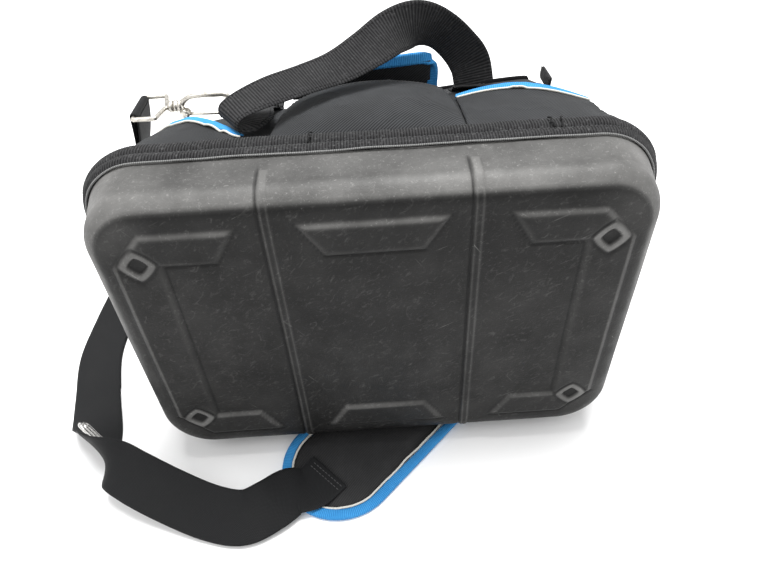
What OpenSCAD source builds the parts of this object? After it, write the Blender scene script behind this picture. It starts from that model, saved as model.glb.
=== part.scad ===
// Tool bag with a moulded tray base, lying on its back panel.
// X runs across the bag, -Y out of the moulded base, +Z out of the front panel.
// The origin is the middle of the plane that the base pads stand on.

/* [Moulded base] */
// Width of the tray at its foot
base_w = 430; // [410:1:440]
// Depth of the tray at its foot
base_d = 290; // [275:1:300]
// Height of the tray wall
tray_h = 50; // [45:1:55]
// Thickness of the tray wall
tray_wall = 3; // [2:0.5:4]
// Radius of the upright corners of the tray
corner_r = 47; // [40:1:55]
// Radius of the bend between tray floor and tray wall
fold_r = 20; // [15:1:24]
// Height of the foot pads and ribs above the tray floor
pad_rise = 2.5; // [1:0.5:4]

/* [Fabric body] */
// Height of the whole bag, from foot pads to lid
bag_h = 300; // [290:1:310]
// Thickness of a padded fabric panel
fabric_t = 3; // [2:0.5:4]
// How far the front panel swells outwards
front_belly = 13; // [8:1:20]
// Height of the ribbed binding band round the seam
binding_h = 27; // [20:1:30]

/* [Webbing] */
// Width of the handle webbing
handle_w = 38; // [30:1:40]
// Width of the shoulder strap webbing
strap_w = 48; // [40:1:50]
// Thickness of all webbing
webbing_t = 1.8; // [1.2:0.2:2.2]

/* [Shoulder pad] */
// Length of the shoulder pad
pad_l = 300; // [280:5:310]
// Width of the shoulder pad over its binding
pad_w = 116; // [100:2:120]
// Thickness of the shoulder pad
pad_t = 7; // [5:0.5:7]

/* [Hardware] */
// Diameter of the wire of rings and eyes
wire_d = 5; // [4:0.5:6]
// Diameter of the wire of the snap hooks
hook_d = 6; // [5:0.5:7]

/* [Hidden] */

$fn = 48;
charcoal = "#2b2b2d";
black = "#17181a";
webbing_black = "#101113";
sky_blue = "#3c96dc";
cream = "#e6e4dc";
nickel = "#b9b7b2";

// The surface that the lying bag rests on
ground_z = -159;
// Width and depth of the tray where the fabric starts
rim_w = base_w + 10;
rim_d = base_d + 8;
rim_r = corner_r + 2;
binding_y = tray_h + 1;
binding_t = 2.5;
fabric_y = binding_y + binding_h + 0.5;
body_top_y = bag_h - 4;

// Front panel: height above the back at its foot and along its top edge
front_foot_z = 144;
front_left_z = 63;
front_right_z = 92;
front_half_foot = 200;
front_left_x = -178;
front_right_x = 186;
back_z = -146;

// Middle of the ring bar of each shoulder-strap clip
clip_left = [-133, 282, 90];
clip_right = [213, 282, 58];
clip_right_turn = [0, -90, 0];
ring_r = 21.5;
clip_length = 114;
nose_x = -13;
nose_r = 10.5;
barrel_x = -76;
gate_pin_r = 1.2;
gate_pivot = [-64, 0, -9.6];

// Handle hinge line and cargo flap hinge line
handle_y = 206;
handle_left_z = 116;
handle_right_z = 126;
flap_y = 213;
flap_z = 120;
lid_hinge_z = -137;

// Middle of the shoulder pad and the direction of its length
pad_middle = [17, 46];
pad_turn = 45;
pad_top_z = ground_z + pad_t;

function lerp(a, b, t) = a + (b - a) * t;
function unit(v) = v / norm(v);
function bilerp(c, u, v) = lerp(lerp(c[0], c[1], u), lerp(c[3], c[2], u), v);
function curve_point(a, b, c, d, t) =
    0.5 * (2 * b + (c - a) * t + (2 * a - 5 * b + 4 * c - d) * t * t
        + (3 * b - a - 3 * c + d) * t * t * t);
function smooth(p, steps) = [
    for (i = [0:len(p) - 2])
        for (s = [0:steps - 1])
            curve_point(p[max(i - 1, 0)], p[i], p[i + 1], p[min(i + 2, len(p) - 1)], s / steps),
    p[len(p) - 1]
];

// Height of the front fabric over a point of the back plane
function front_z(x, y) =
    let (up = (y - fabric_y) / (body_top_y - fabric_y))
    let (across = (x + front_half_foot) / (2 * front_half_foot))
    lerp(front_foot_z, lerp(front_left_z, front_right_z, across), up)
        + front_belly * sin(180 * min(1, max(0, across))) * sin(180 * min(1, max(0, up)));
function on_front(x, y, lift) = [x, y, front_z(x, y) + lift];

// ---- shape helpers ----

// Draws its children on the XZ plane and raises them along +Y
module on_y(y) {
    translate([0, y, 0])
        rotate([-90, 0, 0])
            children();
}

module rounded(w, d, r) {
    square([w - 2 * r, d], center = true);
    square([w, d - 2 * r], center = true);
    for (sx = [-1, 1], sy = [-1, 1])
        translate([sx * (w / 2 - r), sy * (d / 2 - r)])
            circle(r);
}

module rod(a, b, r) {
    d = b - a;
    translate(a)
        rotate([0, acos(d[2] / norm(d)), atan2(d[1], d[0])])
            cylinder(r = r, h = norm(d));
}

module ball(p, r) {
    translate(p)
        sphere(r, $fn = 24);
}

// Closed skin between an outer and an inner grid of (n + 1) x (m + 1) points
module skin(outer, inner, n, m) {
    row = n + 1;
    in0 = row * (m + 1);
    function two(a, b, c, d) = [[a, b, c], [a, c, d]];
    faces = [
        for (j = [0:m - 1])
            for (i = [0:n - 1])
                let (a = j * row + i)
                each concat(
                    two(a, a + row, a + row + 1, a + 1),
                    two(in0 + a, in0 + a + 1, in0 + a + row + 1, in0 + a + row)
                ),
        for (i = [0:n - 1])
            let (a = i, b = m * row + i)
            each concat(
                two(in0 + a, a, a + 1, in0 + a + 1),
                two(b, in0 + b, in0 + b + 1, b + 1)
            ),
        for (j = [0:m - 1])
            let (a = j * row, b = j * row + n)
            each concat(
                two(in0 + a + row, a + row, a, in0 + a),
                two(in0 + b, b, b + row, in0 + b + row)
            )
    ];
    polyhedron(points = concat(outer, inner), faces = faces, convexity = 6);
}

// Fabric panel between four corners, which run anticlockwise as seen from outside
module panel(c, out, belly, thickness = fabric_t, n = 8, m = 8, low = 1) {
    function grid(lift) = [
        for (j = [0:m])
            for (i = [0:n])
                let (u = i / n, v = j / m)
                bilerp(c, u, v) + out * (lift + belly * sin(180 * u) * sin(180 * pow(v, low)))
    ];
    skin(grid(0), grid(-thickness), n, m);
}

// Fabric laid over the front panel, lifted off it by lift(u, v)
module front_cover(q, lift, thickness, n = 10, m = 8) {
    function grid(extra) = [
        for (j = [0:m])
            for (i = [0:n])
                let (u = i / n, v = j / m, p = bilerp(q, u, v))
                on_front(p[0], p[1], lift(u, v) + extra)
    ];
    skin(grid(thickness), grid(0), n, m);
}

// Flat strip swept along a route of [place, direction of its width, step off its face],
// over all of the route or only its first spans
module ribbon(route, width, thickness, steps = 4, spans = 1000) {
    centres = smooth([for (r = route) r[0]], steps);
    sides = smooth([for (r = route) r[1]], steps);
    offs = smooth([for (r = route) len(r) > 2 ? r[2] : 0], steps);
    end = len(centres) - 1;
    last = min(end, spans * steps);
    function along(i) = unit(centres[min(i + 1, end)] - centres[max(i - 1, 0)]);
    function across(i) = let (t = along(i)) unit(sides[i] - t * (sides[i] * t));
    points = [
        for (i = [0:last])
            let (w = across(i) * width / 2, face = cross(along(i), across(i)))
            let (n = face * thickness / 2, c = centres[i] + face * offs[i])
            each [c - w - n, c + w - n, c + w + n, c - w + n]
    ];
    walls = [
        for (i = [0:last - 1])
            for (k = [0:3])
                let (a = 4 * i + k, b = 4 * i + (k + 1) % 4)
                each [[a, a + 4, b + 4], [a, b + 4, b]]
    ];
    z = 4 * last;
    caps = [[0, 1, 2], [0, 2, 3], [z + 2, z + 1, z], [z + 3, z + 2, z]];
    polyhedron(points = points, faces = concat(walls, caps), convexity = 8);
}

// ---- moulded base ----

// Solid form of the tray, grown outwards by grow
module tray_form(grow, top) {
    hull()
        for (sx = [-1, 1], sz = [-1, 1]) {
            translate([sx * (base_w / 2 - corner_r), fold_r + pad_rise, sz * (base_d / 2 - corner_r)])
                rotate([-90, 0, 0])
                    rotate_extrude($fn = 32)
                        translate([corner_r - fold_r, 0])
                            circle(fold_r + grow, $fn = 24);
            translate([sx * (rim_w / 2 - rim_r), top, sz * (rim_d / 2 - rim_r)])
                rotate([90, 0, 0])
                    cylinder(r = rim_r + grow, h = 1, $fn = 32);
        }
}

module diamond(half) {
    rotate(45)
        square(half * sqrt(2), center = true);
}

// Raised bracket along one short side of the tray floor
module side_bracket() {
    polygon([[100, 118], [117, 90], [158, 90], [158, -90], [117, -90], [100, -118],
        [168, -118], [194, -90], [194, 90], [168, 118]]);
}

module foot_pads() {
    for (s = [-1, 1]) {
        scale([1, s, 1])
            polygon([[-55, 119], [55, 119], [37, 91], [-37, 91]]);
        difference() {
            mirror([s > 0 ? 0 : 1, 0])
                side_bracket();
            for (t = [-1, 1])
                translate([s * 175, t * 92])
                    diamond(17);
        }
        for (t = [-1, 1])
            translate([s * 175, t * 92])
                difference() {
                    diamond(13.5);
                    diamond(7.5);
                }
    }
}

module base_tray() {
    rib_w = 7;
    rib_x = 76;
    rib_end = 33;
    color(charcoal)
        difference() {
            union() {
                tray_form(0, tray_h);
                on_y(0)
                    linear_extrude(fold_r / 2)
                        foot_pads();
                intersection() {
                    tray_form(pad_rise, tray_h);
                    for (s = [-1, 1])
                        translate([s * rib_x - rib_w / 2, 0, -base_d])
                            cube([rib_w, rib_end, 2 * base_d]);
                }
            }
            tray_form(-tray_wall, tray_h + 1);
        }
}

module base_board() {
    color("#4a4038")
        on_y(pad_rise + tray_wall + 0.5)
            linear_extrude(3)
                rounded(base_w - 46, base_d - 46, 26);
}

module rim_piping() {
    color("#8d8d8d")
        on_y(tray_h - 4)
            linear_extrude(2.5)
                difference() {
                    rounded(rim_w + 5, rim_d + 5, rim_r + 2.5);
                    rounded(rim_w + 1, rim_d + 1, rim_r + 0.5);
                }
}

module base_binding() {
    inner_w = rim_w + 4;
    inner_d = rim_d - 1;
    inner_r = rim_r + 0.5;
    color(black)
        on_y(binding_y)
            linear_extrude(binding_h)
                difference() {
                    rounded(inner_w + 2 * binding_t, inner_d + 2 * binding_t, inner_r + binding_t);
                    rounded(inner_w, inner_d, inner_r);
                }
}

// ---- fabric shell ----

module front_panel() {
    color(black)
        front_cover([[-front_half_foot, fabric_y], [front_half_foot, fabric_y],
            [front_right_x, body_top_y], [front_left_x, body_top_y - 8]],
            function(u, v) -fabric_t, fabric_t);
}

module back_panel() {
    color(black)
        panel([[front_half_foot, fabric_y, back_z], [-front_half_foot, fabric_y, back_z],
            [-186, body_top_y, back_z + 3], [186, body_top_y, back_z + 3]], [0, 0, -1], 1);
}

module left_side_panel() {
    color(black)
        panel([[-214, fabric_y, back_z + 6], [-214, fabric_y, front_foot_z - 6],
            [-183, body_top_y - 8, front_left_z - 5], [-191, body_top_y, back_z + 6]],
            [-1, 0, 0], 14, low = 0.6);
}

module right_side_panel() {
    color(black)
        panel([[214, fabric_y, front_foot_z - 6], [214, fabric_y, back_z + 6],
            [191, body_top_y, back_z + 6], [191, body_top_y, front_right_z - 5]],
            [1, 0, 0], 14, low = 0.6);
}

module front_board() {
    color("#4a4038")
        front_cover([[-185, fabric_y + 6], [185, fabric_y + 6], [165, 250], [-160, 245]],
            function(u, v) -fabric_t - 3, 2, 8, 6);
}

module back_board() {
    color("#4a4038")
        translate([-180, fabric_y + 6, back_z + fabric_t + 4])
            cube([360, 205, 2]);
}

// Row of elastic loops for hand tools inside the back, sewn to a flat strip
loops = 5;
loop_pitch = 64;
loop_r = 13;
loop_h = 34;
strip_t = 1.5;
strip_place = [-loop_pitch * loops / 2, 175, back_z + fabric_t + 6.5];

module tool_strip() {
    color(webbing_black)
        translate(strip_place)
            cube([loop_pitch * loops, loop_h, strip_t]);
}

module tool_loops() {
    color(webbing_black)
        translate(strip_place + [0, 0, strip_t])
            for (k = [0:loops - 1])
                translate([loop_pitch * (k + 0.5), 0, 0])
                    rotate([-90, 0, 0])
                        difference() {
                            cylinder(r = loop_r, h = loop_h);
                            translate([0, 0, -1])
                                cylinder(r = loop_r - 1.5, h = loop_h + 2);
                            translate([-20, 0, -1])
                                cube([40, 20, loop_h + 2]);
                        }
}

module divider() {
    color("#26282b")
        translate([-190, 20, -22])
            cube([380, 190, 4]);
}

// ---- front pockets ----

slip_foot_y = fabric_y + 1;
slip_left = [[-198, slip_foot_y], [-100, slip_foot_y], [-100, 91], [-190, 172]];
slip_right = [[79, slip_foot_y], [199, slip_foot_y], [196, 166], [82, 184]];

// A slip pocket stands off the bag along its open top edge
slip_lift = function(u, v) 1 + 9 * sin(180 * u) * v;

module slip_pocket(q) {
    color(black)
        front_cover(q, slip_lift, 2.2, 10, 6);
}

// Tape that closes the top edge of a slip pocket
module slip_edge(q, drop, width, thickness) {
    count = 8;
    route = [
        for (i = [0:count])
            let (u = i / count, p = bilerp(q, u, 1))
            [on_front(p[0], p[1] - drop, slip_lift(u, 1) + 2.9 + thickness / 2), [0, 1, -0.25]]
    ];
    ribbon(route, width, thickness, steps = 2);
}

module slip_pocket_left() { slip_pocket(slip_left); }
module slip_pocket_right() { slip_pocket(slip_right); }
module slip_binding_left() { color(sky_blue) slip_edge(slip_left, 4, 8, 1); }
module slip_binding_right() { color(sky_blue) slip_edge(slip_right, 4, 8, 1); }
module slip_piping_left() { color(cream) slip_edge(slip_left, 11, 2, 1); }
module slip_piping_right() { color(cream) slip_edge(slip_right, 9.8, 2, 1); }

module cargo_pocket() {
    swell = function(u, v) 1 + 17 * pow(max(0, sin(180 * u)), 0.5) * pow(sin(90 * min(1, v * 1.6)), 0.8);
    color(black)
        front_cover([[-76, slip_foot_y], [76, slip_foot_y], [74, 186], [-70, 182]],
            swell, 2.5, 12, 8);
}

module cargo_flap() {
    color(black)
        panel([[-68, 200, 149], [62, 205, 153], [62, flap_y, flap_z], [-70, flap_y, flap_z]],
            [0, 1, 0], 3, 2.5, 8, 4);
}

// Tape folded round the free edge and the ends of the flap
module flap_binding() {
    route = [
        [[-71, flap_y - 4, flap_z + 6], [1, 0, 0]],
        [[-71, 204, 142], [1, 0.5, 0.5]],
        [[-64, 200, 151.5], [0, 0.2, 1]],
        [[0, 203, 153.5], [0, 0.2, 1]],
        [[57, 205, 155.5], [0, 0.2, 1]],
        [[64, 208, 146], [-1, 0.5, 0.5]],
        [[64, flap_y - 4, flap_z + 6], [-1, 0, 0]]
    ];
    color(sky_blue)
        ribbon(route, 8, 3);
}

// ---- handles ----

front_handle_route = [
    [[-104, handle_y, handle_left_z], [-1, 0, 0]],
    [[-103, 172, 131], [-1, 0.05, 0]],
    [[-98, 142, 143], [-0.9, 0.35, 0]],
    [[-96, 122, 147], [-0.75, 0.65, 0]],
    [[-102, 108, 148], [-0.6, 0.8, 0]],
    [[-109, 103, 152], [-0.55, 0.83, 0]],
    [[-107, 104, 160], [-0.55, 0.83, 0]],
    [[-94, 111, 165], [-0.58, 0.8, 0.08]],
    [[-72, 124, 168], [-0.55, 0.8, 0.2]],
    [[-46, 140, 169], [-0.45, 0.85, 0.25]],
    [[-20, 153, 172], [-0.4, 0.8, 0.35]],
    [[6, 168, 180], [-0.5, 0.65, 0.5]],
    [[28, 184, 187], [-0.3, 0.5, 0.75]],
    [[50, 197, 188], [0.1, 0.1, 0.95]],
    [[71, 207, 178], [0.55, -0.2, 0.75]],
    [[88, 212, 162], [0.85, -0.2, 0.45]],
    [[100, 211, 145], [1, -0.05, 0]],
    [[104, handle_y, handle_right_z], [1, 0, 0]]
];

module front_handle() {
    color(webbing_black)
        ribbon(front_handle_route, handle_w, webbing_t);
}

// Sewn ends of the front handle, flat on the front panel
module front_handle_patches() {
    half = handle_w / 2;
    color(webbing_black)
        for (x = [-104, 104])
            front_cover([[x - half, handle_y - 8], [x + half, handle_y - 8],
                [x + half, 245], [x - half, 245]], function(u, v) 0.5, webbing_t, 4, 4);
}

back_leg_x = 104;
back_leg_z = back_z - 3.5;

module back_handle_legs() {
    color(webbing_black)
        for (s = [-1, 1])
            translate([s * back_leg_x - handle_w / 2, 195, back_leg_z - webbing_t])
                cube([handle_w, bag_h + 4 - 195, webbing_t]);
}

// Free loop of the back handle, flat on the ground behind the lid
module back_handle() {
    y0 = bag_h + 5;
    reach = 62;
    z0 = back_leg_z - webbing_t;
    color(webbing_black)
        translate([0, 0, z0])
            linear_extrude(webbing_t)
                difference() {
                    translate([-back_leg_x - handle_w / 2, y0])
                        square([2 * back_leg_x + handle_w, reach + handle_w]);
                    translate([-back_leg_x + handle_w / 2, y0 - 1])
                        square([2 * back_leg_x - handle_w, reach + 1]);
                    for (s = [-1, 1])
                        translate([s * (back_leg_x + handle_w / 2), y0 + reach + handle_w])
                            rotate(45)
                                square(62, center = true);
                }
}

// ---- lid and zip ----

lid_back_z = lid_hinge_z + 1;

module lid() {
    color(black)
        panel([[179, body_top_y + 2, lid_back_z], [-179, body_top_y + 2, lid_back_z],
            [-168, body_top_y - 6, front_left_z - 10], [174, body_top_y + 2, front_right_z - 12]],
            [0, -1, 0], -5, -4);
}

function rim_route(inset) = [
    [[-187 + inset, body_top_y + 3, -128], [1, 0, 0]],
    [[-184 + inset, body_top_y + 2, -30], [1, 0, 0]],
    [[-180 + inset, body_top_y - 3.5, front_left_z - 20 - inset], [1, 0, -0.1]],
    [[-172 + inset, body_top_y - 4.5, front_left_z - 4 - inset], [0.7, 0, -0.7]],
    [[-154, body_top_y - 3.5, front_left_z - inset], [0, 0, -1]],
    [[0, body_top_y, 77 - inset], [-0.07, 0, -1]],
    [[162, body_top_y + 3, front_right_z - 2 - inset], [0, 0, -1]],
    [[180 - inset, body_top_y + 3, front_right_z - 7 - inset], [-0.7, 0, -0.7]],
    [[187 - inset, body_top_y + 3, front_right_z - 24 - inset], [-1, 0, -0.1]],
    [[187 - inset, body_top_y + 3, -30], [-1, 0, 0]],
    [[187 - inset, body_top_y + 3, -128], [-1, 0, 0]]
];

module body_zip() {
    color("#0c0c0d")
        ribbon(rim_route(0), 5, 1.4, steps = 3);
}

module lid_zip() {
    color("#0c0c0d")
        ribbon(rim_route(5.6), 5, 1.4, steps = 3);
}

slider_run = unit([324, 7, 27]);
slider_middle = [0, body_top_y + 3.2, 71.2];

module zip_slider(s) {
    color(nickel)
        translate(slider_middle + slider_run * (s * 14))
            translate([-5, 0, -5]) {
                cube([10, 2, 9]);
                translate([4, 1, 3.4])
                    cube([2, 4, 1.6]);
                translate([4, 1, -1.4])
                    cube([2, 4, 1.6]);
                translate([4, 5, -1.4])
                    cube([2, 1, 6.4]);
            }
}

// Pull tab hanging from the bail of its slider
module zip_pull(s) {
    color(nickel)
        translate(slider_middle + slider_run * (s * 14) + [0, 3.6, -3.4]) {
            rod([-4.5, 0, 0], [4.5, 0, 0], 1);
            for (t = [-1, 1])
                rod([t * 3.8, 0, 0], [t * 3.8, 2, -22], 1);
            translate([-4.8, 1.2, -34])
                cube([9.6, 1.6, 14]);
        }
}

module zip_slider_left() { zip_slider(-1); }
module zip_slider_right() { zip_slider(1); }
module zip_pull_left() { zip_pull(-1); }
module zip_pull_right() { zip_pull(1); }

// ---- shoulder-strap clips ----
// A clip is drawn with its ring bar along Y through the origin and its hook towards -X

module at_left() {
    translate(clip_left)
        children();
}

module at_right() {
    translate(clip_right)
        rotate(clip_right_turn)
            children();
}

module ring() {
    r = wire_d / 2;
    color(nickel) {
        rotate([0, 0, 90])
            rotate_extrude(angle = 180)
                translate([ring_r, 0])
                    circle(r);
        rod([0, -ring_r, 0], [0, ring_r, 0], r);
        ball([0, -ring_r, 0], r);
        ball([0, ring_r, 0], r);
    }
}

// Half sleeve of webbing round a bar along Y, open towards side
module sleeve(width, bar_r, side) {
    inner = bar_r + 0.4;
    translate([0, width / 2, 0])
        rotate([90, 0, 0])
            difference() {
                cylinder(r = inner + webbing_t, h = width);
                translate([0, 0, -1])
                    cylinder(r = inner, h = width + 2);
                translate([side > 0 ? 0 : -20, -20, -1])
                    cube([20, 40, width + 2]);
            }
}

// Webbing tab that holds a ring to the bag, ending at reach below the bar
module ring_tab(reach, drop) {
    gap = wire_d / 2 + 0.4 + webbing_t / 2;
    color(webbing_black) {
        sleeve(36, wire_d / 2, 1);
        for (s = [-1, 1])
            ribbon([
                [[-0.2, 0, s * gap], [0, 1, 0]],
                [[6, 0, s * gap], [0, 1, 0]],
                [[reach / 2, 0, s * (webbing_t / 2 - 0.01) - drop * 0.45], [0, 1, 0]],
                [[reach - 12, 0, s * (webbing_t / 2 - 0.01) - drop], [0, 1, 0]],
                [[reach, 0, s * (webbing_t / 2 - 0.01) - drop], [0, 1, 0]]
            ], 36, webbing_t);
    }
}

module hook() {
    r = hook_d / 2;
    top = nose_r;
    color(nickel) {
        translate([nose_x - nose_r, 0, 0])
            rotate([90, 0, 0])
                rotate([0, 0, -90])
                    rotate_extrude(angle = 180)
                        translate([nose_r, 0])
                            circle(r);
        rod([nose_x - nose_r, 0, top], [-58, 0, top], r);
        ball([-58, 0, top], r);
        rod([-58, 0, top], [-68, 0, 3], r);
        translate([-68, 0, 0])
            rotate([0, -90, 0])
                cylinder(r = 6.5, h = 8);
        ball([nose_x - nose_r, 0, -top], r);
        for (s = [-1, 1])
            translate([gate_pivot[0] - 7, s * 4.4 - 1, gate_pivot[2] - 3])
                cube([10, 2, 8]);
        translate(gate_pivot)
            rotate([90, 0, 0])
                cylinder(r = gate_pin_r, h = 8, center = true);
    }
}

// Sprung gate: a barrel that turns on the pin between the hook's ears
module gate() {
    r = 2.4;
    color(nickel)
        difference() {
            union() {
                rod(gate_pivot, [nose_x - nose_r - 4, 0, -nose_r], r);
                translate(gate_pivot)
                    rotate([90, 0, 0])
                        cylinder(r = 2.9, h = 6.2, center = true);
            }
            translate(gate_pivot)
                rotate([90, 0, 0])
                    cylinder(r = gate_pin_r + 0.06, h = 8, center = true);
        }
}

module eye() {
    r = wire_d / 2;
    neck = barrel_x - 7;
    bar = -clip_length;
    half = strap_w / 2 + 4;
    color(nickel) {
        translate([barrel_x - 0.4, 0, 0])
            rotate([0, -90, 0])
                cylinder(r = 6.5, h = 7);
        for (s = [-1, 1]) {
            rod([neck, s * 3, 0], [neck - 8, s * half, 0], r);
            ball([neck - 8, s * half, 0], r);
            rod([neck - 8, s * half, 0], [bar, s * half, 0], r);
            ball([bar, s * half, 0], r);
        }
        rod([bar, -half, 0], [bar, half, 0], r);
    }
}

module ring_left() { at_left() ring(); }
module ring_right() { at_right() ring(); }
module ring_tab_left() { at_left() ring_tab(44, 1); }
module ring_tab_right() { at_right() ring_tab(44, -16); }
module hook_left() { at_left() hook(); }
module hook_right() { at_right() hook(); }
module gate_left() { at_left() gate(); }
module gate_right() { at_right() gate(); }
module eye_left() { at_left() eye(); }
module eye_right() { at_right() eye(); }

// ---- shoulder strap ----

eye_bar_left = clip_left - [clip_length, 0, 0];
eye_bar_right = clip_right - [0, 0, clip_length];
flat_z = ground_z + 4.2;
loop_gap = wire_d / 2 + 0.4 + webbing_t / 2;

strap_left_route = [
    [eye_bar_left + [-loop_gap, 0, 0], [0, 1, 0]],
    [eye_bar_left + [-loop_gap - 3, 1, -25], [0, 1, 0]],
    [[-268, 290, 10], [-0.15, 1, 0.05]],
    [[-288, 300, -60], [-0.4, 0.9, 0.05]],
    [[-312, 298, -115], [-0.8, 0.6, -0.1]],
    [[-330, 268, -146], [-1, 0.25, -0.05]],
    [[-337, 215, flat_z], [-1, 0, 0]],
    [[-336, 150, flat_z], [-1, -0.1, 0]],
    [[-322, 92, flat_z], [-1, -0.2, 0]],
    [[-308, 50, -151], [-0.9, -0.1, 0.15]],
    [[-294, 18, -140.5], [-0.75, 0.35, 0.4]],
    [[-283, -2, -128], [-0.65, 0.48, 0.55]],
    [[-268, -18, -121], [-0.5, 0.68, 0.5]],
    [[-242, -34, -127], [-0.25, 0.83, 0.5]],
    [[-203, -52, -138], [0, 0.9, 0.42]],
    [[-165, -68, -143], [0, 0.85, 0.45]],
    [[-135, -74, -144], [0, 0.85, 0.4]],
    [[-112, -64, -144], [-0.3, 0.8, 0.3]],
    [[-94, -50, pad_top_z + 5], [-0.55, 0.8, 0.18]],
    [[-76, -45, pad_top_z + 1.6], [-0.7, 0.7, 0]],
    [[-58, -29, pad_top_z + 1.6], [-0.7, 0.7, 0]]
];

module strap_left() {
    color(webbing_black)
        ribbon(strap_left_route, strap_w, webbing_t);
}

layer_step = webbing_t + 0.5;

// The same route for the returned webbing, which lies on the other layer
function returned(route) = [
    for (i = [0:len(route) - 1])
        [route[i][0], route[i][1], i == 0 ? 2 * loop_gap : i == 1 ? 1.3 * loop_gap : layer_step]
];

module strap_turn(bar) {
    translate(bar)
        rotate([0, 90, 0])
            sleeve(strap_w, wire_d / 2, 1);
}

// The returned end of the webbing, from the eye to the glide
module strap_left_return() {
    color(webbing_black) {
        ribbon(returned(strap_left_route), strap_w, webbing_t, spans = 8);
        strap_turn(eye_bar_left);
    }
}

strap_right_route = [
    [eye_bar_right - [loop_gap, 0, 0], [0, 1, 0]],
    [[212, 282, -68], [0, 1, 0]],
    [[229, 280, -88], [0, 1, 0]],
    [[252, 272, -112], [0, 1, 0]],
    [[264, 256, -138], [-0.1, 1, 0]],
    [[246, 242, flat_z], [-0.3, 1, 0]],
    [[215, 224, flat_z], [-0.45, 0.9, 0]],
    [[178, 200, flat_z], [-0.6, 0.8, 0]],
    [[146, 174, pad_top_z - 1], [-0.7, 0.7, 0]],
    [[122, 151, pad_top_z + 1.6], [-0.7, 0.7, 0]],
    [[108, 137, pad_top_z + 1.6], [-0.7, 0.7, 0]]
];

module strap_right() {
    color(webbing_black)
        ribbon(strap_right_route, strap_w, webbing_t);
}

// Short returned end at the right clip, sewn down under the eye
module strap_right_return() {
    color(webbing_black) {
        ribbon(returned(strap_right_route), strap_w, webbing_t, spans = 3);
        strap_turn(eye_bar_right);
    }
}

// Three-bar glide with its bars along X
module glide_frame() {
    half = strap_w / 2 + 4;
    r = 2;
    for (y = [-13, 0, 13])
        rod([-half, y, 0], [half, y, 0], r);
    for (s = [-1, 1]) {
        rod([s * half, -13, 0], [s * half, 13, 0], r);
        for (t = [-1, 1])
            ball([s * half, t * 13, 0], r);
    }
}

module tri_glide() {
    color(nickel)
        translate([-278.8, 1.9, -126.4])
            rotate([-70, 36, -36])
                glide_frame();
}

module on_pad(z) {
    translate([pad_middle[0], pad_middle[1], z])
        rotate(pad_turn)
            children();
}

module pad_plan(inset) {
    w = pad_w - 2 * inset;
    straight = pad_l - pad_w;
    square([straight, w], center = true);
    for (s = [-1, 1])
        translate([s * straight / 2, 0])
            circle(w / 2);
}

pad_binding_w = 10;

module shoulder_pad() {
    color(black)
        on_pad(ground_z)
            linear_extrude(pad_t)
                pad_plan(pad_binding_w + 2.6);
}

module pad_piping() {
    color(cream)
        on_pad(ground_z + 2)
            linear_extrude(pad_t - 2)
                difference() {
                    pad_plan(pad_binding_w + 0.3);
                    pad_plan(pad_binding_w + 2.4);
                }
}

module pad_binding() {
    color(sky_blue)
        on_pad(ground_z)
            linear_extrude(pad_t)
                difference() {
                    pad_plan(0);
                    pad_plan(pad_binding_w);
                }
}

base_tray();
base_board();
rim_piping();
base_binding();
front_panel();
back_panel();
left_side_panel();
right_side_panel();
front_board();
back_board();
tool_strip();
tool_loops();
divider();
slip_pocket_left();
slip_pocket_right();
slip_binding_left();
slip_binding_right();
slip_piping_left();
slip_piping_right();
cargo_pocket();
cargo_flap();
flap_binding();
front_handle();
front_handle_patches();
back_handle();
back_handle_legs();
lid();
lid_zip();
body_zip();
zip_slider_left();
zip_slider_right();
zip_pull_left();
zip_pull_right();
ring_tab_left();
ring_tab_right();
ring_left();
ring_right();
hook_left();
hook_right();
gate_left();
gate_right();
eye_left();
eye_right();
strap_left();
strap_left_return();
strap_right();
strap_right_return();
tri_glide();
shoulder_pad();
pad_binding();
pad_piping();
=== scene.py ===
import math

import bmesh
import bpy
import numpy as np
from mathutils import Matrix, Vector


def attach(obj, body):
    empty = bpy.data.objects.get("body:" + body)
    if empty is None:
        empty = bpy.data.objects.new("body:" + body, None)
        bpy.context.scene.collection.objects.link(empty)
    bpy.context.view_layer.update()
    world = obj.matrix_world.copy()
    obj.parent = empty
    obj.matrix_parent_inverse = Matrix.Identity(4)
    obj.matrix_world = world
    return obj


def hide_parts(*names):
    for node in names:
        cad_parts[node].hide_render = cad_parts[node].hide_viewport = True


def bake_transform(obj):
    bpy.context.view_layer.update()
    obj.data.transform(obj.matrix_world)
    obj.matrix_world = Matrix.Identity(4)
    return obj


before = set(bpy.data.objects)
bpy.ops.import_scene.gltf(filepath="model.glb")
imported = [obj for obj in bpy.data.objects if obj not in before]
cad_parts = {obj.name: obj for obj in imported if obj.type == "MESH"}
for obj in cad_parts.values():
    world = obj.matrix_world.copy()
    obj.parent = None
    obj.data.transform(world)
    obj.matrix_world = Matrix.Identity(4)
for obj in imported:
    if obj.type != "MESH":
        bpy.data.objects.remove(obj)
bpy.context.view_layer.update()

# Looks of a tool bag with a moulded tray base, lying on its back panel.
# Every length here is in millimetres in the frame of the CAD; mesh_object() turns it into metres.
MM = 0.001
GROUND_Z = -159.0

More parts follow.
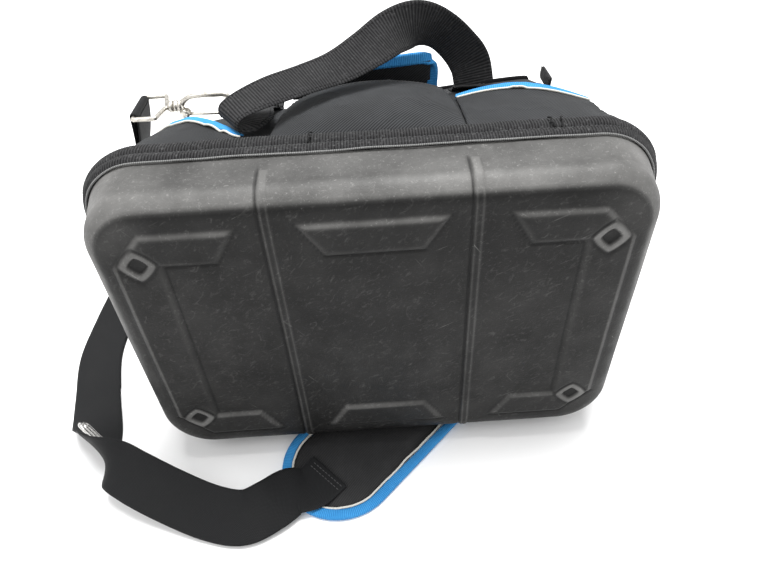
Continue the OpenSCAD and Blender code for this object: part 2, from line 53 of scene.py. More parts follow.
# ---------------------------------------------------------------- numbers shared with the CAD
FLOOR_Y = 2.5  # tray floor, below the foot pads
FLAT_X, FLAT_Z, FLAT_R = 195, 125, 27  # flat part of the tray floor and its corner radius
FOLD_R = 20
TRAY_H = 50
RIM_X, RIM_Z = 220, 149
FABRIC_Y, TOP_Y = 78.5, 296
FRONT_FOOT_Z, FRONT_LEFT_Z, FRONT_RIGHT_Z = 144, 63, 92
FRONT_BELLY = 13
HANDLE_X = 104  # middle of the sewn feet and legs of both handles
BACK_Z = -146
HANDLE_W, STRAP_W, WEBBING_T = 38, 48, 1.8
WIRE_R = 2.5
EYE_REACH = 114  # from a clip's middle to the bar of its strap eye
CLIP_LEFT, CLIP_RIGHT = np.array([-133.0, 282, 90]), np.array([213.0, 282, 58])
PAD_MIDDLE, PAD_TURN, PAD_L, PAD_W, PAD_T = np.array([17.0, 46]), 45, 300, 116, 7
PAD_BINDING_W = 10
PAD_TOP_Z = GROUND_Z + PAD_T
FLAT_STRAP_Z = GROUND_Z + 4.2
HANDLE_PITCH, TAPE_PITCH = 2.4, 1.7  # ribs of the handle webbing and of the blue tape


# ---------------------------------------------------------------- small maths
def lerp(a, b, t):
    return a + (b - a) * t


def smoothstep(lo, hi, x):
    t = np.clip((x - lo) / (hi - lo), 0, 1)
    return t * t * (3 - 2 * t)


def unit(v):
    v = np.asarray(v, float)
    return v / np.maximum(np.linalg.norm(v, axis=-1, keepdims=True), 1e-9)


def bilerp(corners, u, v):
    """Place in a quadrilateral, with u and v from 0 to 1."""
    c = np.asarray(corners, float)
    u, v = np.asarray(u)[..., None], np.asarray(v)[..., None]
    return lerp(lerp(c[0], c[1], u), lerp(c[3], c[2], u), v)


def curve(points, steps):
    """Catmull-Rom curve through points, the same one as in the CAD."""
    p = np.asarray(points, float)
    q = np.vstack([p[:1], p, p[-1:]])
    out = []
    for i in range(len(p) - 1):
        a, b, c, d = q[i : i + 4]
        for s in range(steps):
            t = s / steps
            out.append(
                0.5 * (2 * b + (c - a) * t + (2 * a - 5 * b + 4 * c - d) * t**2 + (3 * b - a - 3 * c + d) * t**3)
            )
    out.append(p[-1])
    return np.array(out)


def lengths(points):
    """Running length along a line of points."""
    steps = np.linalg.norm(np.diff(points[:, :3], axis=0), axis=1)
    return np.concatenate([[0], np.cumsum(steps)])


def evenly(points, spacing, closed=False):
    """The same line with points about spacing apart."""
    p = np.vstack([points, points[:1]]) if closed else np.asarray(points, float)
    s = lengths(p)
    n = max(2, int(round(s[-1] / spacing)))
    at = np.linspace(0, s[-1], n + 1)
    out = np.stack([np.interp(at, s, p[:, k]) for k in range(p.shape[1])], axis=1)
    return out[:-1] if closed else out


def lattice(cell, seed):
    """Repeatable value between -1 and 1 for each whole-numbered place."""
    h = (
        cell[..., 0] * 374761393 + cell[..., 1] * 668265263 + cell[..., 2] * 2147483647 + seed * 1274126177
    ) & 0xFFFFFFFF
    h = ((h ^ (h >> 13)) * 1274126177) & 0xFFFFFFFF
    return ((h ^ (h >> 16)) & 0xFFFF) / 32767.5 - 1


def noise(p, size, seed=0, octaves=2):
    """Smooth value noise between -1 and 1 with features about size across."""
    p = np.asarray(p, float) / size
    total, gain = 0, 1
    for o in range(octaves):
        cell = np.floor(p).astype(np.int64)
        f = p - cell
        f = f * f * (3 - 2 * f)
        value = 0
        for corner in range(8):
            step = np.array([corner & 1, corner >> 1 & 1, corner >> 2])
            weight = np.prod(np.where(step, f, 1 - f), axis=-1)
            value = value + weight * lattice(cell + step, seed + 17 * o)
        total = total + gain * value
        gain *= 0.5
        p = p * 2.03 + 5.1
    return total


def flat(x, y):
    """Points on the plan, for noise that only depends on two coordinates."""
    return np.stack([x, y, np.zeros_like(x)], axis=-1)


def polygon_distance(x, z, corners):
    """Signed distance to a polygon, negative inside."""
    c = np.asarray(corners, float)
    p = np.stack([x, z], axis=-1)
    best, inside = np.full(x.shape, 1e9), np.zeros(x.shape, bool)
    for a, b in zip(c, np.roll(c, -1, axis=0)):
        e, w = b - a, p - a
        t = np.clip((w @ e) / (e @ e), 0, 1)
        best = np.minimum(best, np.linalg.norm(w - t[..., None] * e, axis=-1))
        crosses = (a[1] > p[..., 1]) != (b[1] > p[..., 1])
        rise = np.where(b[1] == a[1], 1e-9, b[1] - a[1])
        inside ^= crosses & (p[..., 0] < (b[0] - a[0]) * (p[..., 1] - a[1]) / rise + a[0])
    return np.where(inside, -best, best)


# ---------------------------------------------------------------- mesh building
def mesh_object(name, points, faces, uv=None, values=None, material=None, body="root", slot=None):
    """A piece from points in millimetres. uv gives each point's place on the cloth, in millimetres."""
    points = np.asarray(points, float)
    mesh = bpy.data.meshes.new(name)
    mesh.from_pydata((points * MM).tolist(), [], [list(map(int, f)) for f in faces])
    mesh.validate(clean_customdata=False)
    faced = bmesh.new()
    faced.from_mesh(mesh)
    bmesh.ops.recalc_face_normals(faced, faces=faced.faces)
    faced.to_mesh(mesh)
    faced.free()
    mesh.polygons.foreach_set("use_smooth", [True] * len(mesh.polygons))
    if uv is not None:
        layer = mesh.uv_layers.new(name="cloth")
        corners = np.zeros(len(mesh.loops), np.int64)
        mesh.loops.foreach_get("vertex_index", corners)
        flat_uv = np.asarray(uv, float)[corners]
        if isinstance(uv, WrappedUV):
            flat_uv = uv.unwrap(flat_uv, mesh)
        layer.data.foreach_set("uv", flat_uv[:, :2].astype(np.float32).ravel())
    for key, data in (values or {}).items():
        attribute = mesh.attributes.new(key, "FLOAT", "POINT")
        attribute.data.foreach_set("value", np.asarray(data, np.float32).ravel())
    mesh.update()
    obj = bpy.data.objects.new(name, mesh)
    bpy.context.scene.collection.objects.link(obj)
    if material:
        mesh.materials.append(material)
    if body:
        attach(obj, body)
    return obj


class WrappedUV(np.ndarray):
    """Cloth coordinates of a closed band, whose last column meets its first one."""

    length = 1.0

    def unwrap(self, corner_uv, mesh):
        out = np.array(corner_uv)
        start = np.zeros(len(mesh.polygons), np.int64)
        total = np.zeros(len(mesh.polygons), np.int64)
        mesh.polygons.foreach_get("loop_start", start)
        mesh.polygons.foreach_get("loop_total", total)
        poly = np.repeat(np.arange(len(total)), total)
        high = np.maximum.reduceat(out[:, 0], start)[poly]
        out[(high - out[:, 0]) > self.length / 2, 0] += self.length
        return out


def wrapped(uv, length):
    out = np.asarray(uv, float).view(WrappedUV)
    out.length = length
    return out


def grid_normals(grid, wrap):
    """Unit normals of a grid of points (rows, columns, 3)."""
    along = np.gradient(grid, axis=0)
    if wrap:
        across = (np.roll(grid, -1, axis=1) - np.roll(grid, 1, axis=1)) / 2
    else:
        across = np.gradient(grid, axis=1)
    return unit(np.cross(across, along))


def grid_faces(rows, cols, wrap, start=0, flip=False):
    faces = []
    for j in range(rows - 1):
        for i in range(cols if wrap else cols - 1):
            k = (i + 1) % cols
            quad = [
                start + j * cols + i, start + j * cols + k, start + (j + 1) * cols + k, start + (j + 1) * cols + i,
            ]
            faces.append(quad[::-1] if flip else quad)
    return faces


def border(rows, cols, inset=0):
    """Indices round the edge of a grid, or round the line that lies inset from its edge."""
    left, right, first, last = inset, cols - 1 - inset, inset, rows - 1 - inset
    ring = [first * cols + i for i in range(left, right + 1)]
    ring += [j * cols + right for j in range(first + 1, last + 1)]
    ring += [last * cols + i for i in range(right - 1, left - 1, -1)]
    return ring + [j * cols + left for j in range(last - 1, first, -1)]


def shell(name, outer, inner, wrap=False, uv=None, rim_bulge=0.0, **rest):
    """Closed skin between two grids of the same size. A rounded lip closes it along its free edges."""
    rows, cols = outer.shape[:2]
    n = rows * cols
    faces = grid_faces(rows, cols, wrap) + grid_faces(rows, cols, wrap, n, flip=True)
    if wrap:
        loops = [(list(range(cols)), False), (list(range(n - cols, n)), True)]
    else:
        loops = [(border(rows, cols), False)]
    points = np.vstack([outer.reshape(-1, 3), inner.reshape(-1, 3)])
    more, more_uv = [], []
    flat_uv = None if uv is None else np.asarray(uv, float).reshape(-1, 2)
    for ring, flip in loops:
        base = len(points) + len(more)
        middle_of = 0.5 * (points[ring] + points[[n + r for r in ring]])
        if rim_bulge:
            flat_outer = outer.reshape(-1, 3)
            neighbour = []
            for r in ring:
                j, i = divmod(r, cols)
                jj = min(max(j, 1), rows - 2) if rows > 2 else j
                ii = i if wrap else min(max(i, 1), cols - 2)
                neighbour.append(jj * cols + ii)
            outward = unit(flat_outer[ring] - flat_outer[neighbour])
            middle_of = middle_of + outward * rim_bulge
        more.extend(middle_of)
        if flat_uv is not None:
            more_uv.extend(flat_uv[ring])
        m = len(ring)
        for k in range(m):
            a, b = ring[k], ring[(k + 1) % m]
            ma, mb = base + k, base + (k + 1) % m
            for quad in ([a, ma, mb, b], [ma, n + a, n + b, mb]):
                faces.append(quad[::-1] if flip else quad)
    points = np.vstack([points, np.array(more)])
    if uv is not None:
        both = np.vstack([flat_uv, flat_uv, np.array(more_uv)])
        uv = wrapped(both, uv.length) if isinstance(uv, WrappedUV) else both
    values = rest.pop("values", None)
    if values:
        extended = {}
        for key, data in values.items():
            d = np.asarray(data, float).ravel()
            extended[key] = np.concatenate([d, d, np.concatenate([d[ring] for ring, _ in loops])])
        values = extended
    return mesh_object(name, points, faces, uv=uv, values=values, **rest)


def frames_along(path, sides):
    """Tangent, width and face directions of a band whose width should follow sides."""
    tangent = unit(np.gradient(path, axis=0))
    across = unit(sides - tangent * np.sum(sides * tangent, axis=1, keepdims=True))
    return tangent, across, np.cross(tangent, across)


def band(route, width, thickness, steps=12, spacing=3.0, lateral=9, relief=None, edge=0.35, part=None):
    """Closed strip of webbing along a route of [place, direction of its width, optional step off its face].

    relief(s, a) raises both faces, with a from -1 to 1 across. part is how many of the route's spans are made.
    Returns (points, faces, uv, path, across, face).
    """
    centre = curve([r[0] for r in route], steps)
    sides = curve([r[1] for r in route], steps)
    offs = curve([[r[2] if len(r) > 2 else 0.0] for r in route], steps)
    if part is not None:
        keep = part * steps + 1
        face = frames_along(centre, sides)[2]
        centre, sides, offs, face = centre[:keep], sides[:keep], offs[:keep], face[:keep]
        centre = centre + face * offs
    joined = evenly(np.hstack([centre, sides]), spacing)
    path, sides = joined[:, :3], unit(joined[:, 3:])
    across, face = frames_along(path, sides)[1:]
    s = lengths(path)
    a = np.linspace(-1, 1, lateral)
    a = np.sign(a) * (1 - (1 - np.abs(a)) ** 1.25)
    ring_a = np.concatenate([a, a[::-1]])
    top = np.concatenate([np.ones(lateral), -np.ones(lateral)])
    profile = np.where(np.abs(ring_a) > 0.985, edge, 1.0)
    grid = []
    for i in range(len(path)):
        h = 0 if relief is None else relief(s[i], ring_a) * (np.abs(ring_a) < 0.985)
        half = thickness / 2 * profile + h
        grid.append(path[i] + np.outer(ring_a * width / 2, across[i]) + np.outer(top * half, face[i]))
    grid = np.array(grid)
    rows, cols = grid.shape[:2]
    faces = grid_faces(rows, cols, True)
    # A flat end is a strip of quads between the two faces of the webbing
    for row, flip in ((0, True), (rows - 1, False)):
        for i in range(lateral - 1):
            quad = [row * cols + i, row * cols + i + 1, row * cols + cols - 2 - i, row * cols + cols - 1 - i]
            faces.append(quad[::-1] if not flip else quad)
    uv = np.stack([np.repeat(s, cols), np.tile(ring_a * width / 2, rows)], axis=1)
    return grid.reshape(-1, 3), faces, uv, path, across, face


def band_object(name, route, width, thickness, **rest):
    """A piece made of one band()."""
    keys = ("steps", "spacing", "lateral", "relief", "edge")
    shape = {k: rest.pop(k) for k in keys if k in rest}
    points, faces, uv, *_ = band(route, width, thickness, **shape)
    return mesh_object(name, points, faces, uv=uv, **rest)


def joined(parts):
    """Several (points, faces, uv) in one."""
    points, faces, uvs, start = [], [], [], 0
    for part in parts:
        p, f = part[0], part[1]
        points.append(p)
        faces += [[start + k for k in face] for face in f]
        uvs.append(part[2] if len(part) > 2 and part[2] is not None else np.zeros((len(p), 2)))
        start += len(p)
    return np.vstack(points), faces, np.vstack(uvs)


def tube(path, radius, sides=10, closed=False, flatten=1.0, up=(0, 0, 1)):
    """Wire along a path. radius may change along it; flatten narrows it along the direction nearest up."""
    p = np.asarray(path, float)
    if closed:
        tangent = unit(np.roll(p, -1, axis=0) - np.roll(p, 1, axis=0))
    else:
        tangent = unit(np.gradient(p, axis=0))
    up = np.asarray(up, float)
    first = up - tangent[0] * (up @ tangent[0])
    if np.linalg.norm(first) < 1e-3:
        first = np.cross(tangent[0], [1, 0, 0])
    normal = [unit(first)]
    for i in range(1, len(p)):
        v = normal[-1] - tangent[i] * (normal[-1] @ tangent[i])
        normal.append(unit(v))
    normal = np.array(normal)
    side = np.cross(tangent, normal)
    r = np.broadcast_to(np.asarray(radius, float), (len(p),))
    angle = np.linspace(0, 2 * math.pi, sides, endpoint=False)
    grid = p[:, None] + r[:, None, None] * (
        np.cos(angle)[None, :, None] * side[:, None] + flatten * np.sin(angle)[None, :, None] * normal[:, None]
    )
    faces = grid_faces(len(p), sides, True)
    points = grid.reshape(-1, 3)
    s = lengths(p)
    uv = np.stack([np.repeat(s, sides), np.tile(angle * np.max(r), len(p))], axis=1)
    if closed:
        last = (len(p) - 1) * sides
        faces += [[last + i, last + (i + 1) % sides, (i + 1) % sides, i] for i in range(sides)]
    else:
        n = len(points)
        points = np.vstack([points, p[:1], p[-1:]])
        uv = np.vstack([uv, uv[:1], uv[-1:]])
        last = (len(p) - 1) * sides
        faces += [[n, (i + 1) % sides, i] for i in range(sides)]
        faces += [[n + 1, last + i, last + (i + 1) % sides] for i in range(sides)]
    return points, faces, uv


def stitches(path, normals, length=2.6, gap=1.3, radius=0.42):
    """A row of sewn stitches along a path, each a short thread that dips into the cloth at both ends."""
    joined_path = np.hstack([path, normals])
    line = evenly(joined_path, 0.5)
    s = lengths(line)
    parts, at = [], 0.6
    while at + length < s[-1]:
        where = np.linspace(at, at + length, 5)
        centre = np.stack([np.interp(where, s, line[:, k]) for k in range(3)], axis=1)
        normal = unit(np.stack([np.interp(where, s, line[:, 3 + k]) for k in range(3)], axis=1))
        rise = np.sin(np.linspace(0, math.pi, 5)) * radius * 1.1 - radius * 0.35
        parts.append(tube(centre + normal * rise[:, None], radius * np.array([0.55, 0.95, 1, 0.95, 0.55]), 6))
        at += length + gap
    return joined(parts) if parts else None


def thread_object(name, parts, material, body="root", slot=None):
    """A piece made of several rows of stitches or threads."""
    points, faces, uv = joined([p for p in parts if p is not None])
    mesh_object(name, points, faces, uv=uv, material=material, body=body, slot=slot)


# ---------------------------------------------------------------- materials
BANDS_PER_UNIT = 3.183  # of a Wave texture whose scale is 1


class Paint:
    def __init__(self, name, colour, roughness, **sockets):
        self.material = bpy.data.materials.new(name)
        self.material.use_nodes = True
        self.tree = self.material.node_tree
        self.shader = self.tree.nodes["Principled BSDF"]
        self.shader.inputs["Base Color"].default_value = (*colour, 1)
        self.shader.inputs["Roughness"].default_value = roughness
        for key, value in sockets.items():
            self.shader.inputs[key.replace("_", " ")].default_value = value

    def node(self, kind, inputs=(), out=0, **settings):
        n = self.tree.nodes.new(kind)
        for key, value in settings.items():
            setattr(n, key, value)
        for key, value in dict(inputs).items():
            if isinstance(value, bpy.types.NodeSocket):
                self.tree.links.new(value, n.inputs[key])
            else:
                n.inputs[key].default_value = value
        return n.outputs[out]

    def cloth(self):
        """Place on the cloth, in millimetres."""
        return self.node("ShaderNodeUVMap", uv_map="cloth", out="UV")

    def place(self):
        """Place in the object, in millimetres."""
        return self.scaled(self.node("ShaderNodeTexCoord", out="Object"), (1 / MM,) * 3)

    def scaled(self, vector, scale, turn=0.0):
        return self.node("ShaderNodeMapping", {"Vector": vector, "Scale": scale, "Rotation": (0, 0, turn)})

    def streaks(self, vector, turn, scale):
        """Place stretched along a direction in the plane of the tray floor."""
        turned = self.node("ShaderNodeMapping", {"Vector": vector, "Rotation": (0, turn, 0)})
        return self.scaled(turned, scale)

    def noise(self, vector, scale, detail=3.0, rough=0.55, distortion=0.0):
        return self.node(
            "ShaderNodeTexNoise",
            {"Vector": vector, "Scale": scale, "Detail": detail, "Roughness": rough, "Distortion": distortion},
            out="Fac",
        )

    def wave(self, vector, scale, distortion=0.0, axis="X"):
        return self.node(
            "ShaderNodeTexWave",
            {"Vector": vector, "Scale": scale, "Distortion": distortion, "Detail": 1.0},
            out="Fac",
            wave_type="BANDS",
            bands_direction=axis,
            wave_profile="SIN",
        )

    def maths(self, operation, a, b=0.0, clamp=False):
        return self.node("ShaderNodeMath", {0: a, 1: b}, operation=operation, use_clamp=clamp)

    def times(self, a, b):
        return self.maths("MULTIPLY", a, b)

    def plus(self, a, b, clamp=False):
        return self.maths("ADD", a, b, clamp)

    def ramp(self, value, low, high, to_low=0.0, to_high=1.0):
        return self.node(
            "ShaderNodeMapRange",
            {"Value": value, "From Min": low, "From Max": high, "To Min": to_low, "To Max": to_high},
        )

    def attribute(self, name):
        return self.node("ShaderNodeAttribute", attribute_name=name, out="Fac")

    def mix(self, amount, a, b):
        n = self.tree.nodes.new("ShaderNodeMix")
        n.data_type = "RGBA"
        for key, value in (("Factor", amount), ("A", a), ("B", b)):
            socket = next(s for s in n.inputs if s.name == key and (key == "Factor" or s.type == "RGBA"))
            if isinstance(value, bpy.types.NodeSocket):
                self.tree.links.new(value, socket)
            elif key == "Factor":
                socket.default_value = value
            else:
                socket.default_value = (*value, 1)
        return next(s for s in n.outputs if s.type == "RGBA")

    def finish(self, colour=None, roughness=None, height=None, strength=0.5, depth=0.0004):
        links = self.tree.links
        if colour is not None:
            links.new(colour, self.shader.inputs["Base Color"])
        if roughness is not None:
            links.new(roughness, self.shader.inputs["Roughness"])
        if height is not None:
            bump = self.node("ShaderNodeBump", {"Height": height, "Strength": strength, "Distance": depth})
            links.new(bump, self.shader.inputs["Normal"])
        return self.material


def plastic_paint():
    """Charcoal moulded plastic with a fine grain, pale scuffs and painted highlight on its edges and walls, painted
    shade with dirt in its grooves, and scratches on its floor.
    """
    p = Paint("moulded_plastic", (0.03, 0.03, 0.03), 0.5, Specular_IOR_Level=0.16)
    at = p.place()
    # This attribute carries scuffs and painted light: bevels facing up, the fold and the top and left walls are
    # painted paler.
    wear_and_painted_light = p.attribute("wear_and_painted_light")
    grain = p.noise(at, 1.1, 4, 0.6)
    pits = p.node("ShaderNodeTexVoronoi", {"Vector": at, "Scale": 0.75}, out="Distance")
    cloud = p.noise(at, 0.018, 4, 0.6)
    speck = p.noise(at, 0.34, 5, 0.72, 0.4)
    fine = p.noise(at, 1.6, 3, 0.7)
    smear = p.noise(p.streaks(at, 0.7, (0.1, 0.3, 0.19)), 1.0, 5, 0.7, 1.6)
    scratch_a = p.noise(p.streaks(at, 0.45, (0.014, 0.5, 0.5)), 1.0, 2, 0.5, 0.3)
    scratch_b = p.noise(p.streaks(at, -0.95, (0.014, 0.4, 0.45)), 1.0, 2, 0.5, 0.3)
    line_a = p.ramp(scratch_a, 0.705, 0.73)
    line_b = p.ramp(scratch_b, 0.71, 0.735)
    lines = p.times(p.plus(line_a, line_b, True), p.ramp(p.noise(at, 0.03, 3), 0.52, 0.7))
    spots = p.times(p.ramp(speck, 0.56, 0.72), p.ramp(fine, 0.42, 0.62))
    worn = p.times(spots, p.ramp(wear_and_painted_light, 0.05, 0.7, 0.18, 0.85))
    smears = p.times(p.ramp(smear, 0.56, 0.8), 0.24)
    # Broad paling where the attribute is high: painted light on walls, fold and bevels, with rubbed wear.
    rub_and_painted_light = p.times(wear_and_painted_light, p.ramp(cloud, 0.3, 0.7, 0.3, 0.66))
    pale = p.plus(p.plus(worn, smears), p.plus(p.times(lines, 0.5), rub_and_painted_light), True)
    base = p.mix(p.ramp(cloud, 0.35, 0.7), (0.0075, 0.0074, 0.0072), (0.018, 0.0176, 0.0172))
    colour = p.mix(p.times(pale, 0.62), base, (0.34, 0.335, 0.325))
    # Painted shade, with some dirt: darker in the grooves, moats and holes the mesh marks.
    colour = p.mix(p.times(p.attribute("grime_and_crevice_shade"), 0.85), colour, (0.003, 0.003, 0.003))
    rough = p.ramp(p.noise(at, 0.05, 4), 0.3, 0.7, 0.42, 0.6)
    height = p.plus(p.times(grain, 0.7), p.times(pits, 0.5))
    return p.finish(colour, rough, height, 0.4, 0.0005)


def weave_paint(name, dark, light, pitch=2.0, turn=math.radians(45), sheen=0.04, dust=0.35, depth=0.0004):
    """Heavy woven cloth: fine diagonal ridges, broken by the crossing yarn, with pale dust."""
    p = Paint(name, dark, 0.85, Sheen_Weight=sheen, Sheen_Roughness=0.45, Specular_IOR_Level=0.15)
    cloth, at = p.cloth(), p.place()
    wave_scale = 1 / pitch / BANDS_PER_UNIT
    ridges = p.wave(p.scaled(cloth, (1, 1, 1), turn), wave_scale, 0.5)
    yarns = p.wave(p.scaled(cloth, (1, 1, 1), turn + math.pi / 2), wave_scale * 1.35, 0.5)
    worn = p.noise(at, 0.03, 4, 0.65)
    lint = p.ramp(p.noise(at, 0.55, 4, 0.75), 0.68, 0.8)
    lint = p.times(lint, p.ramp(p.noise(at, 0.02, 3), 0.45, 0.7))
    shade = p.plus(p.times(ridges, 0.55), p.times(worn, 0.6))
    colour = p.mix(p.ramp(shade, 0.3, 1.0), dark, light)
    colour = p.mix(p.times(lint, dust), colour, (0.35, 0.35, 0.34))
    height = p.plus(ridges, p.times(yarns, 0.6))
    return p.finish(colour, p.ramp(worn, 0.3, 0.7, 0.75, 0.92), height, 0.55, depth)


def ribbed_paint(name, dark, light, pitch=2.4, across=0.8, sheen=0.2, dust=0.0, pale=(0.3, 0.3, 0.3), depth=0.0006):
    """Webbing or tape with ribs across its length and warp yarns along it."""
    p = Paint(name, dark, 0.8, Sheen_Weight=sheen, Sheen_Roughness=0.4, Specular_IOR_Level=0.15)
    cloth, at = p.cloth(), p.place()
    ribs = p.wave(cloth, 1 / pitch / BANDS_PER_UNIT, 0.15)
    warp = p.wave(cloth, 1 / across / BANDS_PER_UNIT, 0.4, "Y")
    worn = p.noise(at, 0.05, 4, 0.65)
    fuzz = p.noise(at, 1.3, 3, 0.7)
    shade = p.plus(p.times(ribs, 0.5), p.plus(p.times(worn, 0.4), p.times(fuzz, 0.25)))
    colour = p.mix(p.ramp(shade, 0.3, 0.95), dark, light)
    if dust:
        colour = p.mix(p.times(p.ramp(p.noise(at, 0.4, 4, 0.7), 0.55, 0.8), dust), colour, pale)
    height = p.plus(ribs, p.times(p.times(warp, ribs), 0.5))
    return p.finish(colour, p.ramp(fuzz, 0.3, 0.7, 0.7, 0.9), height, 0.6, depth)


def twill_paint(name, dark, light):
    """Dense strap webbing: a very fine herringbone along its length."""
    p = Paint(name, dark, 0.75, Sheen_Weight=0.03, Sheen_Roughness=0.4, Specular_IOR_Level=0.2)
    cloth, at = p.cloth(), p.place()
    fine_scale = 1 / 1.15 / BANDS_PER_UNIT
    twill = p.wave(p.scaled(cloth, (1, 1, 1), math.radians(38)), fine_scale, 0.3)
    counter = p.wave(p.scaled(cloth, (1, 1, 1), math.radians(-52)), fine_scale, 0.3)
    worn = p.noise(at, 0.02, 4, 0.6)
    shade = p.plus(p.times(p.times(twill, counter), 0.7), p.times(worn, 0.5))
    colour = p.mix(p.ramp(shade, 0.25, 0.9), dark, light)
    height = p.plus(twill, p.times(counter, 0.6))
    return p.finish(colour, p.ramp(worn, 0.3, 0.7, 0.62, 0.8), height, 0.5, 0.0004)


def metal_paint(name, colour, rough=0.28):
    """Nickel plate dulled by handling, with darker grime and fine scratches."""
    p = Paint(name, colour, rough, Metallic=1.0)
    at = p.place()
    grime_and_crevice_shade = p.noise(at, 0.22, 5, 0.7)
    fine = p.noise(p.scaled(at, (0.4, 2.5, 2.5), 0.2), 1.0, 3, 0.6)
    dull = tuple(c * 0.42 for c in colour)
    tone = p.mix(p.ramp(grime_and_crevice_shade, 0.5, 0.72), colour, dull)
    mottle = p.plus(p.times(grime_and_crevice_shade, 0.7), p.times(fine, 0.3))
    roughness = p.ramp(mottle, 0.3, 0.7, rough * 0.7, rough * 1.9)
    return p.finish(tone, roughness, p.plus(grime_and_crevice_shade, fine), 0.12, 0.0004)


def board_paint(name, colour):
    """Fibre board with short pale and dark fibres."""
    p = Paint(name, colour, 0.8)
    at = p.place()
    fibre = p.noise(p.scaled(at, (0.2, 1.0, 1.4), 0.6), 1.0, 5, 0.75)
    tone = p.mix(p.ramp(fibre, 0.3, 0.75), tuple(c * 0.7 for c in colour), tuple(c * 1.5 for c in colour))
    return p.finish(tone, None, fibre, 0.3, 0.0005)


def thread_paint(name, colour):
    """Twisted sewing thread."""
    p = Paint(name, colour, 0.7, Sheen_Weight=0.05, Specular_IOR_Level=0.2)
    twist = p.wave(p.scaled(p.cloth(), (1, 1, 1), 0.7), 0.9, 0.2)
    tone = p.mix(twist, tuple(c * 0.6 for c in colour), tuple(min(1, c * 1.25) for c in colour))
    return p.finish(tone, None, twist, 0.4, 0.0002)


PLASTIC = plastic_paint()
POLYESTER = weave_paint("black_polyester", (0.008, 0.0085, 0.009), (0.048, 0.050, 0.053))
LINING = weave_paint("lining_cloth", (0.014, 0.014, 0.015), (0.04, 0.041, 0.043), pitch=0.9, turn=0.0)
PAD_CLOTH = weave_paint(
    "pad_cloth", (0.012, 0.012, 0.0125), (0.042, 0.042, 0.043), pitch=1.4, turn=math.radians(20), sheen=0.02,
    dust=0.15, depth=0.0003,
)
GROSGRAIN = ribbed_paint(
    "black_grosgrain", (0.003, 0.003, 0.0033), (0.038, 0.038, 0.039), pitch=2.25, sheen=0.04, dust=0.3,
)
HANDLE_WEB = ribbed_paint(
    "handle_webbing", (0.006, 0.006, 0.0065), (0.036, 0.036, 0.037), pitch=HANDLE_PITCH, sheen=0.03, dust=0.15,
)
STRAP_WEB = twill_paint("strap_webbing", (0.004, 0.0042, 0.0045), (0.017, 0.0175, 0.019))
BLUE_TAPE = ribbed_paint(
    "blue_tape", (0.02, 0.16, 0.42), (0.06, 0.32, 0.64), pitch=TAPE_PITCH, across=0.7, sheen=0.05, dust=0.05,
    pale=(0.4, 0.6, 0.85), depth=0.0004,
)
CREAM_CORD = ribbed_paint(
    "cream_piping", (0.45, 0.43, 0.38), (0.86, 0.85, 0.80), pitch=1.2, across=0.6, sheen=0.2, dust=0.1,
    pale=(0.4, 0.37, 0.32), depth=0.0003,
)
GREY_CORD = ribbed_paint(
    "grey_piping", (0.08, 0.08, 0.08), (0.28, 0.28, 0.275), pitch=1.4, across=0.6, dust=0.3, depth=0.0003,
)
ZIP_TAPE = ribbed_paint("zip_tape", (0.010, 0.010, 0.011), (0.03, 0.03, 0.032), pitch=0.9, across=0.6, depth=0.0002)
ZIP_COIL = thread_paint("zip_coil", (0.02, 0.02, 0.022))
THREAD = thread_paint("black_thread", (0.006, 0.006, 0.0065))
GREY_THREAD = thread_paint("grey_thread", (0.07, 0.07, 0.072))
NICKEL = metal_paint("worn_nickel", (0.66, 0.63, 0.57), 0.26)
STEEL = metal_paint("bright_nickel", (0.68, 0.67, 0.65), 0.2)
BOARD = board_paint("stiffener_board", (0.10, 0.085, 0.07))


# ---------------------------------------------------------------- moulded tray
def pad_distance(x, z):
    """Signed distance to the outlines of the raised foot pads."""
    bracket = [
        (100, 118), (117, 90), (158, 90), (158, -90), (117, -90), (100, -118), (168, -118), (194, -90), (194, 90),
        (168, 118),
    ]
    centre = [(-55, 119), (55, 119), (37, 91), (-37, 91)]
    distance = np.minimum(polygon_distance(x, z, centre), polygon_distance(x, -z, centre))
    return np.minimum(distance, polygon_distance(np.abs(x), z, bracket))


